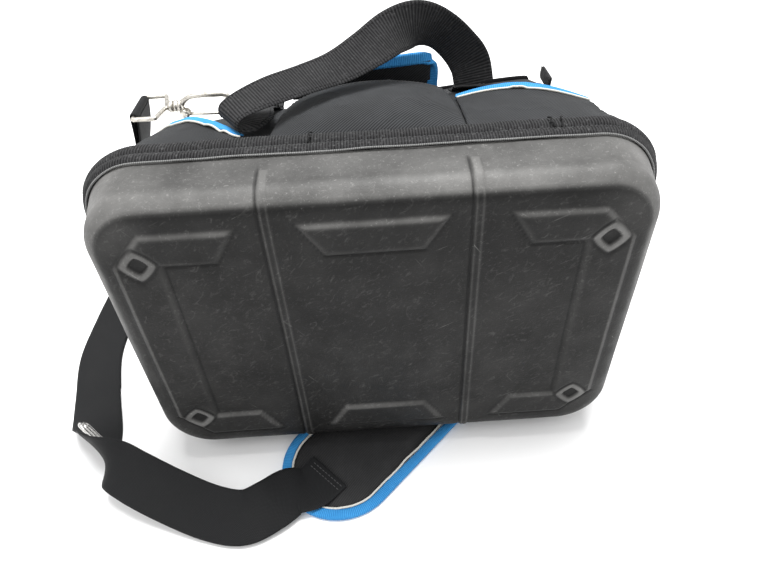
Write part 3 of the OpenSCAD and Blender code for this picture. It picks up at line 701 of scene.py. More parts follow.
def tray_features(x, y, z):
    """Height of pads, ribs and grooves over the tray's skin, how pale each place is from wear and painted
    highlight, and how dark from painted shade with dirt.
    """
    distance = pad_distance(x, z)
    facing_up = np.clip((pad_distance(x, z + 1.5) - pad_distance(x, z - 1.5)) / 3, 0, 1)
    facing_down = np.clip((pad_distance(x, z - 1.5) - pad_distance(x, z + 1.5)) / 3, 0, 1)
    diamond = ((np.abs(np.abs(x) - 175) ** 1.25 + np.abs(np.abs(z) - 92) ** 1.25) ** 0.8 - 13.5) / math.sqrt(2)
    pads = lerp(smoothstep(1.0, -2.6, distance), smoothstep(1.4, -4.2, distance), facing_up)
    ring = smoothstep(0.7, -0.7, diamond)
    hole = smoothstep(-3.4, -4.8, diamond)
    moat = np.exp(-(((diamond - 1.5) / 1.1) ** 2))
    across = np.abs(x) - 76
    reach = smoothstep(35, 31, y)
    ribs = smoothstep(4.2, 2.0, np.abs(across)) * reach
    groove = np.exp(-(((x - np.where(x < 0, -81.0, 71.0)) / 0.9) ** 2)) * smoothstep(40, 32, y)
    dip = np.exp(-(((distance - 1.7) / 0.8) ** 2))
    height = np.maximum(2.5 * pads, 0.9 * ribs)
    height = (
        lerp(height, 2.5, ring) - 2.2 * hole - 0.8 * moat
        - 1.2 * groove - dip * (1 - ribs) * (0.25 + 0.75 * facing_down)
    )
    # Paleness from wear and painted light: the pad bevels are painted lighter, most on their side facing up (+Z)
    # towards the lamp and more towards the top, as a painted highlight; the bracket pads' outer sides too; the
    # diamond rings and the ribs are paler as well.
    edge = (
        np.exp(-(((distance + 1.4) / 2.0) ** 2)) * (0.22 + 0.78 * facing_up)
        * lerp(0.6, 1.0, smoothstep(-60, 100, z))
    )
    outer_side = facing_up + (1 - facing_up) * smoothstep(176, 190, np.abs(x))
    edge = np.maximum(edge, (0.12 + 0.5 * outer_side) * np.exp(-(((distance + 2.4) / 1.0) ** 2)))
    edge = np.maximum(edge, ring - hole)
    edge = np.maximum(edge, 0.85 * smoothstep(3.4, 2.4, np.abs(across)) * reach * smoothstep(4, 16, y))
    edge = np.maximum(edge, 0.35 * np.exp(-(((np.abs(across) - 2.4) / 0.8) ** 2)) * reach)
    # Painted shade, with some dirt: darker in the dip round the pads, most on their down-facing side, in the moat
    # round the diamonds, in the grooves beside the ribs and in the diamonds' holes.
    grime_and_crevice_shade = np.maximum(np.maximum(dip * (1 - 0.8 * facing_up), 0.8 * moat), groove) * (1 - 0.8 * ribs)
    return height, np.clip(edge, 0, 1), np.clip(np.maximum(grime_and_crevice_shade, 0.7 * hole), 0, 1)


def tray_skin():
    """Grid of the tray floor and the rings of fold and wall round it: (points, normals, faces, rim)."""
    rib = np.arange(70, 83, 0.9)
    plain = np.concatenate([np.arange(0, 70, 2.1), rib, np.arange(83, 156, 2.1), np.arange(156, FLAT_X + 0.1, 1.3)])
    plain[-1] = FLAT_X
    xs = np.unique(np.round(np.concatenate([-plain, plain]), 3))
    edge_rows = np.linspace(76, FLAT_Z, 42)
    zs = np.concatenate([-edge_rows[::-1], np.linspace(-76, 76, 44)[1:-1], edge_rows])
    gx, gz = np.meshgrid(xs, zs)
    core_x, core_z = FLAT_X - FLAT_R, FLAT_Z - FLAT_R
    a = np.clip((np.abs(gx) - core_x) / FLAT_R, 0, 1)
    b = np.clip((np.abs(gz) - core_z) / FLAT_R, 0, 1)
    px = np.where(a > 0, np.sign(gx) * (core_x + FLAT_R * a * np.sqrt(1 - b * b / 2)), gx)
    pz = np.where(b > 0, np.sign(gz) * (core_z + FLAT_R * b * np.sqrt(1 - a * a / 2)), gz)
    rows, cols = gx.shape
    floor = np.stack([px, np.full_like(px, FLOOR_Y), pz], axis=-1).reshape(-1, 3)
    faces = grid_faces(rows, cols, False)
    loop = border(rows, cols)
    start = floor[loop]
    core = np.stack([np.clip(start[:, 0], -core_x, core_x), np.clip(start[:, 2], -core_z, core_z)], axis=1)
    out = unit(np.stack([start[:, 0], start[:, 2]], axis=1) - core)
    points, normals = [floor], [np.tile([0, -1.0, 0], (len(floor), 1))]
    fold = [
        (FOLD_R * math.sin(t), FLOOR_Y + FOLD_R - FOLD_R * math.cos(t), t, 0)
        for t in np.linspace(0, math.pi / 2, 15)[1:]
    ]
    wall = [(FOLD_R, lerp(FLOOR_Y + FOLD_R, TRAY_H, q), math.pi / 2, q) for q in np.linspace(0, 1, 14)[1:]]
    previous, at = loop, len(floor)
    for reach, y, tilt, q in fold + wall:
        spread = np.array([(core_x + 3 * q) / core_x, (core_z + 2 * q) / core_z])
        plan = core * spread + out * (FLAT_R + reach + 2 * q)
        points.append(np.stack([plan[:, 0], np.full(len(plan), y), plan[:, 1]], axis=1))
        n = np.stack(
            [out[:, 0] * math.sin(tilt), np.full(len(out), -math.cos(tilt)), out[:, 1] * math.sin(tilt)], axis=1,
        )
        normals.append(n)
        ring = list(range(at, at + len(loop)))
        m = len(loop)
        faces += [[previous[k], ring[k], ring[(k + 1) % m], previous[(k + 1) % m]] for k in range(m)]
        previous, at = ring, at + m
    return np.vstack(points), np.vstack(normals), faces, previous


def moulded_tray():
    """The tray, with the wear and painted light, and the painted shade with dirt, that its material reads."""
    points, normals, faces, rim = tray_skin()
    x, y, z = points.T
    height, edge, grime_and_crevice_shade = tray_features(x, y, z)
    # Paleness from wear and painted light: a painted highlight with scuff speckles along the upper fold, paler
    # corners, and painted light on the top wall, which faces the lamp above, and on the left wall.
    fold = smoothstep(3.8, 7.5, y) * np.exp(-((np.maximum(0, y - 9) / 9) ** 2)) * smoothstep(-60, 120, z)
    corner = smoothstep(150, 205, np.abs(x)) * smoothstep(80, 140, z)
    low_corner = smoothstep(165, 210, np.abs(x)) * smoothstep(60, 140, -z) * 0.5
    wall = smoothstep(12, 28, y) * (0.6 * smoothstep(60, 140, z) + 0.8 * smoothstep(-190, -210, x))
    wear_and_painted_light = np.clip(0.95 * edge + 1.4 * fold + 0.45 * corner + 0.3 * low_corner + wall, 0, 1)
    # Painted shade, with some dirt, in the crease at the foot of the fold.
    grime_and_crevice_shade = np.maximum(grime_and_crevice_shade, 0.5 * np.exp(-(((y - 3.6) / 0.9) ** 2)) * smoothstep(60, 130, z))
    sag = 0.5 * noise(points, 90, 3)
    outer = points + normals * (height + sag)[:, None]
    inner = points - normals * 3.0
    n = len(points)
    all_faces = faces + [[n + k for k in f[::-1]] for f in faces]
    m = len(rim)
    all_faces += [[rim[k], rim[(k + 1) % m], n + rim[(k + 1) % m], n + rim[k]][::-1] for k in range(m)]
    tray = mesh_object(
        "tray", np.vstack([outer, inner]), all_faces, values={
            "wear_and_painted_light": np.concatenate([wear_and_painted_light, wear_and_painted_light * 0]), "grime_and_crevice_shade": np.concatenate([grime_and_crevice_shade, grime_and_crevice_shade * 0]),
        },
        material=PLASTIC, slot="moulded_plastic",
    )
    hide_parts("base_tray")


def rounded_loop(half_x, half_z, radius, spacing):
    """Closed rounded rectangle on the plan as (points, outward directions)."""
    points, out = [], []
    for sx, sz, start in ((1, 1, 0), (-1, 1, 90), (-1, -1, 180), (1, -1, 270)):
        for t in np.radians(np.linspace(start, start + 90, 24)):
            d = np.array([math.cos(t), math.sin(t)])
            points.append(np.array([sx * (half_x - radius), sz * (half_z - radius)]) + radius * d)
            out.append(d)
    line = evenly(np.hstack([np.array(points), np.array(out)]), spacing, closed=True)
    return line[:, :2], unit(line[:, 2:])


def lip_cord():
    """Thin pale cord where the tray meets the ribbed band."""
    plan, out = rounded_loop(RIM_X + 1.6, RIM_Z + 1.6, 50.6, 3.0)
    wobble = 0.35 * noise(flat(*plan.T), 25, 5)
    plan = plan + out * wobble[:, None]
    path = np.stack([plan[:, 0], 49.2 + 0.5 * noise(flat(*plan.T), 40, 8), plan[:, 1]], axis=1)
    points, faces, uv = tube(path, 0.8, 8, closed=True, up=(0, 1, 0))
    cord = mesh_object("lip_cord", points, faces, uv=uv, material=GREY_CORD, slot="grey_piping")
    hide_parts("rim_piping")


BAND_PITCH = 2.25


def band_plan(y):
    """Line of the ribbed band round the seam at one height: it bulges where the corners of the bag push it."""
    plan, out = rounded_loop(RIM_X + 4.5, RIM_Z + 2, 52, BAND_PITCH / 4)
    bulge = np.exp(-(((plan[:, 1] - 118) / 26) ** 2)) * smoothstep(150, 205, np.abs(plan[:, 0]))
    grow = bulge * 4.0 * smoothstep(50, 66, y)
    return plan, out, grow


def ribbed_band():
    """The wide grosgrain band: two rows of ribs with a sewn channel between them."""
    heights = np.concatenate(
        [[50.4, 51.2], np.linspace(52.5, 60.0, 4), [61.2, 62.0, 62.8], np.linspace(64.2, 76.0, 6), [77.4, 78.4]]
    )
    outer, inner, uv = [], [], []
    for y in heights:
        plan, out, grow = band_plan(y)
        s = lengths(plan)
        place = flat(*plan.T) + [0, 3 * y, 0]
        upper = y > 62
        phase = s / BAND_PITCH + (0.5 + (y - 56) * 0.05 if not upper else 0) + 0.05 * noise(place, 30, 2)
        rib = 0.5 - 0.5 * np.cos(2 * math.pi * phase)
        middle = np.interp(
            y, [50.4, 52.5, 56, 60.5, 62, 63.5, 68, 75, 78.4], [-1.2, 0.2, 1.0, 0.6, -0.7, 0.7, 1.5, 0.6, -1.3],
        )
        body = np.interp(y, [50.4, 52.5, 60.0, 62, 64, 76, 78.4], [0.2, 1, 1, 0.15, 1, 1, 0.2])
        wave = 0.5 * noise(place, 45, 4)
        reach = middle + wave + 0.55 * (rib - 0.5) * body + grow
        lift = 0.9 * noise(flat(*plan.T), 60, 6) * smoothstep(51, 78, y)
        top = plan + out * reach[:, None]
        outer.append(np.stack([top[:, 0], y + lift, top[:, 1]], axis=1))
        low = plan + out * (np.minimum(reach, 0.4 + grow) - 2.2)[:, None]
        inner.append(np.stack([low[:, 0], y + lift, low[:, 1]], axis=1))
        uv.append(np.stack([s, np.full(len(s), y)], axis=1))
    outer, inner, uv = np.array(outer), np.array(inner), np.array(uv)
    perimeter = uv[0, -1, 0] + BAND_PITCH / 4
    piece = shell(
        "ribbed_band", outer[:, ::-1], inner[:, ::-1], wrap=True, uv=wrapped(uv[:, ::-1], perimeter),
        material=GROSGRAIN, slot="black_webbing",
    )
    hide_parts("base_binding")
    stitch_y = 62.0
    plan, out, grow = band_plan(stitch_y)
    at = plan + out * (-0.6 + 0.5 * noise(flat(plan[:, 0], plan[:, 1] + 3 * stitch_y), 45, 4) + grow)[:, None]
    lift = 0.9 * noise(flat(*plan.T), 60, 6) * smoothstep(51, 78, stitch_y)
    path = np.stack([at[:, 0], stitch_y + lift, at[:, 1]], axis=1)
    normal = np.stack([out[:, 0], 0 * out[:, 0], out[:, 1]], axis=1)
    rows = [stitches(path, normal, 2.4, 1.2, 0.36)]
    thread_object("band_stitches", rows, GREY_THREAD, slot="black_webbing")
    tufts = []
    for x, bend in ((-45, 1), (140, -1), (145, 1)):
        path = curve(
            [
                [x, 61, 152.0], [x + bend, 64, 154.4], [x + 2 * bend, 67, 153.4], [x + bend, 70, 155.2],
                [x + 3 * bend, 73, 154.2],
            ],
            5,
        )
        tufts.append(tube(path, 0.75, 6))
    thread_object("loose_threads", tufts, THREAD, slot="black_webbing")


# ---------------------------------------------------------------- fabric shell
def front_z(x, y):
    up = (y - FABRIC_Y) / (TOP_Y - FABRIC_Y)
    across = (x + 200) / 400
    rise = FRONT_BELLY * np.sin(math.pi * np.clip(across, 0, 1)) * np.sin(math.pi * np.clip(up, 0, 1))
    return lerp(FRONT_FOOT_Z, lerp(FRONT_LEFT_Z, FRONT_RIGHT_Z, across), up) + rise


def dent(p):
    """Soft dents and creases of the padded cloth, along its normal."""
    slow = noise(p, 70, 11, 2)
    crease = 1 - np.abs(noise(p, 34, 23, 2)) * 2
    return 1.1 * slow + 0.7 * np.clip(crease, 0, 1) ** 3


def front_skin(x, y):
    """The front of the bag with its dents."""
    calm = smoothstep(FABRIC_Y - 4, FABRIC_Y + 22, y)
    corner = smoothstep(168, 206, np.abs(x)) ** 2 * smoothstep(150, 74, y)
    return front_z(x, y) + calm * dent(flat(x, y)) - 14 * corner


def ring_smooth(points, widths):
    """Rounds the corners of closed sections by averaging each along its own length."""
    out = []
    for ring, width in zip(points, widths):
        n = len(ring)
        step = lengths(np.vstack([ring, ring[:1]]))[-1] / n
        reach = max(1, int(3 * width / step))
        k = np.arange(-reach, reach + 1)
        weight = np.exp(-0.5 * (k * step / width) ** 2)
        weight /= weight.sum()
        out.append(sum(w * np.roll(ring, -s, axis=0) for w, s in zip(weight, k)))
    return np.array(out)


def side_x(side, y, z):
    """Outer face of a side panel, as in the CAD."""
    v = np.clip((y - FABRIC_Y) / (TOP_Y - FABRIC_Y), 0, 1)
    top = {-1: lerp(-191, -183, np.clip((z + 140) / 198, 0, 1)), 1: np.full_like(z, 191.0)}[side]
    u = np.clip((z + 140) / (lerp(138, FRONT_LEFT_Z if side < 0 else FRONT_RIGHT_Z, v) + 135), 0, 1)
    belly = 14 * np.sin(math.pi * u) * np.sin(math.pi * v**0.6)
    return lerp(side * 214.0, top, v) + side * (belly + 5 * smoothstep(FABRIC_Y, 66, y))


SECTION_POINTS = 320


def bag_shell():
    """The whole fabric body as one lofted skin, open at the top, with its lining inside."""
    levels = np.concatenate([np.linspace(58, FABRIC_Y, 8)[:-1], np.linspace(FABRIC_Y, TOP_Y + 1, 64)])
    sections, widths = [], []
    for y in levels:
        v = np.clip((y - FABRIC_Y) / (TOP_Y - FABRIC_Y), 0, 1)
        t = np.linspace(0, 1, 150, endpoint=False)
        left, right = lerp(-200, -178, v), lerp(200, 186, v)
        x = lerp(left, right, t)
        front = np.stack([x, np.full_like(x, y), front_z(x, np.maximum(y, FABRIC_Y))], axis=1)
        z0, z1 = front_z(right, max(y, FABRIC_Y)) - 5, BACK_Z + 6
        z = lerp(z0, z1, t)
        right_side = np.stack([side_x(1, y, z), np.full_like(z, y), z], axis=1)
        back_x = lerp(lerp(200, 186, v), -lerp(200, 186, v), t)
        back_z = BACK_Z + 3 * v - np.sin(math.pi * t) * math.sin(math.pi * v)
        back = np.stack([back_x, np.full_like(back_x, y), back_z], axis=1)
        z = lerp(z1, front_z(left, max(y, FABRIC_Y)) - 5, t)
        left_side = np.stack([side_x(-1, y, z), np.full_like(z, y), z], axis=1)
        ring = evenly(np.vstack([front, right_side, back, left_side]), 4.0, closed=True)
        # The same number of columns in every section
        closed = np.vstack([ring, ring[:1]])
        s = lengths(closed)
        at = np.linspace(0, s[-1], SECTION_POINTS + 1)[:-1]
        sections.append(np.stack([np.interp(at, s, closed[:, k]) for k in range(3)], axis=1))
        widths.append(np.interp(y, [58, 80, 110, 250, 297], [13, 9, 5, 5, 7]))
    grid = ring_smooth(np.array(sections), widths)
    normals = grid_normals(grid, True)
    calm = smoothstep(FABRIC_Y - 4, FABRIC_Y + 22, grid[..., 1]) * smoothstep(TOP_Y + 2, TOP_Y - 14, grid[..., 1])
    on_front = smoothstep(0.5, 0.9, normals[..., 2])
    plan = np.where(on_front[..., None] > 0.5, flat(grid[..., 0], grid[..., 1]), grid)
    depth = calm * dent(plan) * np.where(normals[..., 2] < -0.8, 0.15, 1.0)
    outer = grid + normals * depth[..., None]
    tuck = 1.2 * smoothstep(FABRIC_Y, 66, grid[..., 1])
    outer = outer - normals * tuck[..., None]
    thick = 4.5 + 2.0 * on_front + 4.0 * smoothstep(-0.5, -0.9, normals[..., 2])
    inner = grid - normals * thick[..., None]
    inner[..., 1] = grid[..., 1]
    s = np.linspace(0, 1, outer.shape[1], endpoint=False)
    length = lengths(np.vstack([outer[20], outer[20][:1]]))[-1]
    uv = np.stack(np.broadcast_arrays(s[None] * length, outer[..., 1]), axis=-1)
    piece = shell(
        "bag_shell", outer[:, ::-1], inner[:, ::-1], wrap=True, uv=wrapped(uv[:, ::-1], length), material=POLYESTER,
        slot="black_fabric",
    )
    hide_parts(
        "front_panel", "back_panel", "left_side_panel", "right_side_panel", "front_board", "back_board",
    )


# ---------------------------------------------------------------- front pockets
SLIP_LEFT = [(-198, 79.5), (-100, 79.5), (-100, 91), (-190, 172)]
SLIP_RIGHT = [(79, 79.5), (199, 79.5), (196, 158), (82, 171)]
CARGO = [(-76, 79.5), (76, 79.5), (74, 186), (-70, 182)]


def slip_lift(gape):
    """Stand-off of a slip pocket, whose mouth gapes towards its top edge."""
    return lambda u, v: 1.2 + np.sin(math.pi * u) * (9 * v + gape * smoothstep(0.72, 1, v))


def cargo_lift(u, v):
    """Stand-off of the cargo pocket, which bulges soon above its foot."""
    across = np.sqrt(np.maximum(0, np.sin(math.pi * u)))
    return 1.2 + 17 * across * np.sin(math.pi / 2 * np.minimum(1, 1.6 * v)) ** 0.8


def cover(name, quad, lift, thickness, columns, rows, start_v):
    """Pocket cloth over the front of the bag. start_v below 0 tucks its foot under the ribbed band."""
    u, v = np.meshgrid(np.linspace(0, 1, columns), np.linspace(start_v, 1, rows))
    x, y = np.moveaxis(bilerp(quad, u, v), -1, 0)
    inner = np.stack([x, y, front_skin(x, y) + lift(u, np.clip(v, 0, 1))], axis=-1)
    normals = grid_normals(inner, False)
    normals *= np.sign(np.sum(normals[..., 2]))
    outer = inner + normals * thickness
    piece = shell(
        name, outer, inner, uv=outer[..., :2], rim_bulge=thickness * 0.3, material=POLYESTER, slot="black_fabric",
    )
    return piece, outer, normals


def tape_ribs(rise):
    """Ribs of the blue tape, for band()."""
    return lambda s, a: rise * np.sin(2 * math.pi * s / TAPE_PITCH)


def slip_pocket(side, quad, gape, tape_w):
    """Flat side pocket with blue tape and a cream cord along its mouth."""
    piece, outer, normals = cover(f"slip_pocket_cloth_{side}", quad, slip_lift(gape), 2.0, 64, 48, -0.12)
    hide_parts(f"slip_pocket_{side}")
    edge, facing = outer[-1], normals[-1]
    down = unit(outer[-1] - outer[-3])
    route_mid = edge - down * (tape_w / 2 - 1.0) + facing * 0.9
    route = [[route_mid[i], down[i]] for i in range(0, len(edge), 3)]
    tape = band_object(
        f"slip_tape_{side}", route, tape_w, 1.5, steps=4, spacing=0.6, lateral=7, relief=tape_ribs(0.16),
        material=BLUE_TAPE, slot="blue_tape",
    )
    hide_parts(f"slip_binding_{side}")
    cord_path = evenly(edge - down * (tape_w + 0.1) + facing * 0.7, 2.0)
    p, f, uv = tube(cord_path, 0.95, 8, up=(0, 0, 1))
    cord = mesh_object(f"slip_cord_{side}", p, f, uv=uv, material=CREAM_CORD, slot="cream_piping")
    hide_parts(f"slip_piping_{side}")


def cargo_pocket():
    """The bulging middle pocket and the stitches of its hem."""
    piece, outer, normals = cover("cargo_pocket_cloth", CARGO, cargo_lift, 2.4, 84, 60, -0.09)
    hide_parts("cargo_pocket")
    rows = []
    for inset in (2, 4):
        rows.append(stitches(outer[-1 - inset, 2:-2], normals[-1 - inset, 2:-2], 2.6, 1.2, 0.34))
    thread_object("cargo_hem_stitches", rows, GREY_THREAD, slot="black_fabric")


def cargo_flap():
    """The stiff flap stands up from the pocket, bound in blue along its free edge and its ends."""
    corners = [(-68, 200, 149), (62, 205, 153), (62, 213, 120), (-70, 213, 120)]
    u, v = np.meshgrid(np.linspace(0, 1, 56), np.linspace(0, 1, 16))
    grid = bilerp(corners, u, v)
    grid[..., 1] += 3 * np.sin(math.pi * u) * np.sin(math.pi * v) + 0.5 * noise(grid, 30, 31)
    inner = grid - np.array([0, 2.5, 0])
    piece = shell(
        "cargo_flap_cloth", grid, inner, uv=np.stack([grid[..., 0], grid[..., 2]], axis=-1), material=POLYESTER,
        body="cargo_flap", slot="black_fabric",
    )
    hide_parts("cargo_flap")
    route = [
        [(-71, 209, 126), (1, 0, 0)], [(-71, 204, 142), (1, 0.5, 0.5)], [(-64, 200, 150.5), (0, 0.2, 1)],
        [(-30, 201.5, 151.6), (0, 0.2, 1)], [(0, 203, 152.6), (0, 0.2, 1)], [(30, 204, 153.8), (0, 0.2, 1)],
        [(57, 205, 154.5), (0, 0.2, 1)], [(64, 208, 146), (-1, 0.5, 0.5)], [(64, 209, 126), (-1, 0, 0)],
    ]
    tape = band_object(
        "flap_tape", route, 10.5, 4.6, steps=10, spacing=0.5, lateral=9, relief=tape_ribs(0.22), edge=0.45,
        material=BLUE_TAPE, body="cargo_flap", slot="blue_tape",
    )
    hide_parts("flap_binding")


# ---------------------------------------------------------------- handles
FRONT_HANDLE = [
    [(-104, 206, 116), (-1, 0, 0)], [(-103, 172, 131), (-1, 0.05, 0)], [(-98, 142, 143), (-0.9, 0.35, 0)],
    [(-96, 122, 147), (-0.75, 0.65, 0)], [(-102, 108, 148), (-0.6, 0.8, 0)], [(-109, 103, 152), (-0.55, 0.83, 0)],
    [(-107, 104, 160), (-0.55, 0.83, 0)], [(-94, 111, 165), (-0.58, 0.8, 0.08)],
    [(-72, 124, 168), (-0.55, 0.8, 0.2)], [(-46, 140, 169), (-0.45, 0.85, 0.25)],
    [(-20, 153, 172), (-0.4, 0.8, 0.35)], [(6, 168, 180), (-0.5, 0.65, 0.5)], [(28, 184, 187), (-0.3, 0.5, 0.75)],
    [(50, 197, 188), (0.1, 0.1, 0.95)], [(71, 207, 178), (0.55, -0.2, 0.75)], [(88, 212, 162), (0.85, -0.2, 0.45)],
    [(100, 211, 145), (1, -0.05, 0)], [(104, 206, 126), (1, 0, 0)],
]


def handle_ribs(s, a):
    """Ribs of the handle webbing, dying out at its edges."""
    return 0.13 * np.sin(2 * math.pi * s / HANDLE_PITCH) * (1 - a**6)


def front_handle():
    """The twisted loop of webbing with its edge stitches."""
    points, faces, uv, path, across, face = band(
        FRONT_HANDLE, HANDLE_W, WEBBING_T, steps=14, spacing=0.6, lateral=13, relief=handle_ribs,
    )
    piece = mesh_object(
        "front_handle_web", points, faces, uv=uv, material=HANDLE_WEB, body="front_handle", slot="black_webbing",
    )
    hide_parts("front_handle")
    rows = []
    for side in (-1, 1):
        for layer in (-1, 1):
            line = path + across * side * (HANDLE_W / 2 - 3.2) + face * layer * 0.95
            rows.append(stitches(line[6:-6], face[6:-6] * layer, 2.6, 1.3, 0.3))
    thread_object("front_handle_stitches", rows, THREAD, body="front_handle", slot="black_webbing")


def box_stitch(x0, x1, y0, y1, place):
    """A sewn box with a cross inside it; place(x, y) gives a point and its normal."""
    corners = [(x0, y0), (x1, y0), (x1, y1), (x0, y1), (x0, y0)]
    legs = list(zip(corners, corners[1:])) + [((x0, y0), (x1, y1)), ((x0, y1), (x1, y0))]
    rows = []
    for a, b in legs:
        t = np.linspace(0, 1, 12)
        x, y = lerp(a[0], b[0], t), lerp(a[1], b[1], t)
        p, n = place(x, y)
        rows.append(stitches(p, n, 2.8, 1.2, 0.42))
    return rows


def handle_patches():
    """Sewn feet of the front handle, flat on the front of the bag."""
    half, leg_y, rows = HANDLE_W / 2, 206.0, []
    for label, x, leg_z in (("left", -HANDLE_X, 116.0), ("right", HANDLE_X, 126.0)):
        rise = leg_z + WEBBING_T / 2 - float(front_skin(np.array([x]), np.array([leg_y]))[0]) - 0.5 - WEBBING_T
        u, v = np.meshgrid(np.linspace(0, 1, 15), np.linspace(0, 1, 70))
        gx, gy = lerp(x - half, x + half, u), lerp(198.0, 245.0, v)
        fray = 0.8 * noise(flat(gx, gy * 0), 4, 41) * (v > 0.98)
        low = np.stack([gx, gy + fray, front_skin(gx, gy) + 0.5 + rise * smoothstep(226, leg_y, gy)], axis=-1)
        top = low.copy()
        top[..., 2] += WEBBING_T + 0.13 * np.sin(2 * math.pi * gy / HANDLE_PITCH)
        uv = np.stack([gy, gx - x], axis=-1)
        piece = shell(f"front_handle_foot_{label}", top, low, uv=uv, material=HANDLE_WEB, slot="black_webbing")
        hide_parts("front_handle_patches")

        def place(px, py):
            z = front_skin(px, py) + 0.65 + WEBBING_T + rise * smoothstep(226, leg_y, py)
            return np.stack([px, py, z], axis=1), np.tile([0, 0.25, 0.97], (len(px), 1))

        rows += box_stitch(x - half + 4, x + half - 4, 212, 240, place)
    thread_object("front_foot_stitches", rows, GREY_THREAD, slot="black_webbing")


def back_handle():
    """Legs sewn up the back panel, and the loose loop on the ground behind the lid."""
    leg_z = BACK_Z - 3.5 - WEBBING_T / 2
    rows = []
    for side, label in ((-1, "left"), (1, "right")):
        x = side * HANDLE_X
        route = [
            [(x, 196, leg_z), (side, 0, 0)], [(x, 240, leg_z), (side, 0, 0)], [(x, 303.6, leg_z), (side, 0, 0)],
        ]
        leg = band_object(
            f"back_handle_leg_{label}", route, HANDLE_W, WEBBING_T, steps=6, spacing=0.8, lateral=11,
            relief=handle_ribs, material=HANDLE_WEB, slot="black_webbing",
        )
        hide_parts("back_handle_legs")

        def place(px, py):
            return np.stack([px, py, np.full_like(px, leg_z - 1.0)], axis=1), np.tile([0, 0, -1.0], (len(px), 1))

        rows += box_stitch(x - 15, x + 15, 200, 230, place)
    thread_object("back_foot_stitches", rows, GREY_THREAD, slot="black_webbing")
    z = leg_z
    loop_route = [
        [(-104, 305.4, z), (-1, 0, 0)], [(-104, 330, z), (-1, 0, 0)], [(-101, 352, z), (-1, 0.2, 0)],
        [(-88, 374, z), (-0.7, 0.7, 0)], [(-66, 384, z), (-0.2, 1, 0)], [(0, 386, z), (0, 1, 0)],
        [(66, 384, z), (0.2, 1, 0)], [(88, 374, z), (0.7, 0.7, 0)], [(101, 352, z), (1, 0.2, 0)],
        [(104, 330, z), (1, 0, 0)], [(104, 305.4, z), (1, 0, 0)],
    ]
    points, faces, uv = band(
        loop_route, HANDLE_W, WEBBING_T, steps=12, spacing=0.8, lateral=11, relief=handle_ribs,
    )[:3]
    piece = mesh_object(
        "back_handle_web", points, faces, uv=uv, material=HANDLE_WEB, body="back_handle", slot="black_webbing",
    )
    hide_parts("back_handle")


# ---------------------------------------------------------------- lid and zip
LID = [(179, 298, -136), (-179, 298, -136), (-170.5, 290.5, 55.5), (176.5, 298, 82)]


def lid_panel():
    """The lid with its crown and two rows of edge stitches."""
    u, v = np.meshgrid(np.linspace(-1, 1, 70), np.linspace(-1, 1, 50))
    # Square to rounded square, so that the corners of the lid are round
    corner = 1 - 0.035 * (u * v) ** 8
    ru, rv = u * corner, v * corner
    grid = bilerp(LID, (ru + 1) / 2, (rv + 1) / 2)
    crown = (1 - u**4) * (1 - v**4)
    outer = grid.copy()
    outer[..., 1] += 1.0 + 4.2 * crown + 0.8 * noise(flat(grid[..., 0], grid[..., 2]), 60, 51) * crown
    inner = grid.copy()
    inner[..., 1] += -3.2 + 3.5 * crown
    uv = np.stack([grid[..., 0], grid[..., 2]], axis=-1)
    piece = shell(
        "lid_cloth", inner, outer, uv=uv, rim_bulge=0.6, material=POLYESTER, body="lid", slot="black_fabric",
    )
    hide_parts("lid")
    rows = []
    for inset in (2, 5):
        path = outer.reshape(-1, 3)[border(*u.shape, inset)]
        rows.append(stitches(path, np.tile([0, 1.0, 0], (len(path), 1)), 3.2, 1.6, 0.4))
    thread_object("lid_stitches", rows, GREY_THREAD, body="lid", slot="black_fabric")


def rim_route(inset):
    """Route of the zip along three sides of the opening."""
    y, fl, fr = TOP_Y, FRONT_LEFT_Z, FRONT_RIGHT_Z
    return [
        [(-187 + inset, y + 3, -128), (1, 0, 0)],
        [(-184 + inset, y + 2, -30), (1, 0, 0)],
        [(-180 + inset, y - 3.5, fl - 20 - inset), (1, 0, -0.1)],
        [(-172 + inset, y - 4.5, fl - 4 - inset), (0.7, 0, -0.7)],
        [(-154, y - 3.5, fl - inset), (0, 0, -1)],
        [(0, y, 77 - inset), (-0.07, 0, -1)],
        [(162, y + 3, fr - 2 - inset), (0, 0, -1)],
        [(180 - inset, y + 3, fr - 7 - inset), (-0.7, 0, -0.7)],
        [(187 - inset, y + 3, fr - 24 - inset), (-1, 0, -0.1)],
        [(187 - inset, y + 3, -30), (-1, 0, 0)],
        [(187 - inset, y + 3, -128), (-1, 0, 0)],
    ]


def zip_half(inset, side, name, body, node, phase):
    """One tape of the zip with its row of coil teeth along the meeting edge."""
    points, faces, uv, path, across, _ = band(rim_route(inset), 5.2, 1.0, steps=10, spacing=2.0, lateral=5)
    tape = mesh_object(name, points, faces, uv=uv, material=ZIP_TAPE, body=body, slot="zip_tape")
    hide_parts(node)
    line = evenly(np.hstack([path, across]), 0.4)
    s = lengths(line)
    teeth, at = [], 1.5 + phase
    while at < s[-1] - 1.5:
        centre = np.array([np.interp(at, s, line[:, k]) for k in range(3)])
        out = unit(np.array([np.interp(at, s, line[:, 3 + k]) for k in range(3)]))
        a, b = centre + out * side * 1.2 + [0, 0.7, 0], centre + out * side * 2.9 + [0, 0.9, 0]
        teeth.append(tube(np.array([a, lerp(a, b, 0.5) + [0, 0.5, 0], b]), 0.55, 5))
        at += 2.6
    thread_object(name + "_teeth", teeth, ZIP_COIL, body=body, slot="zip_tape")


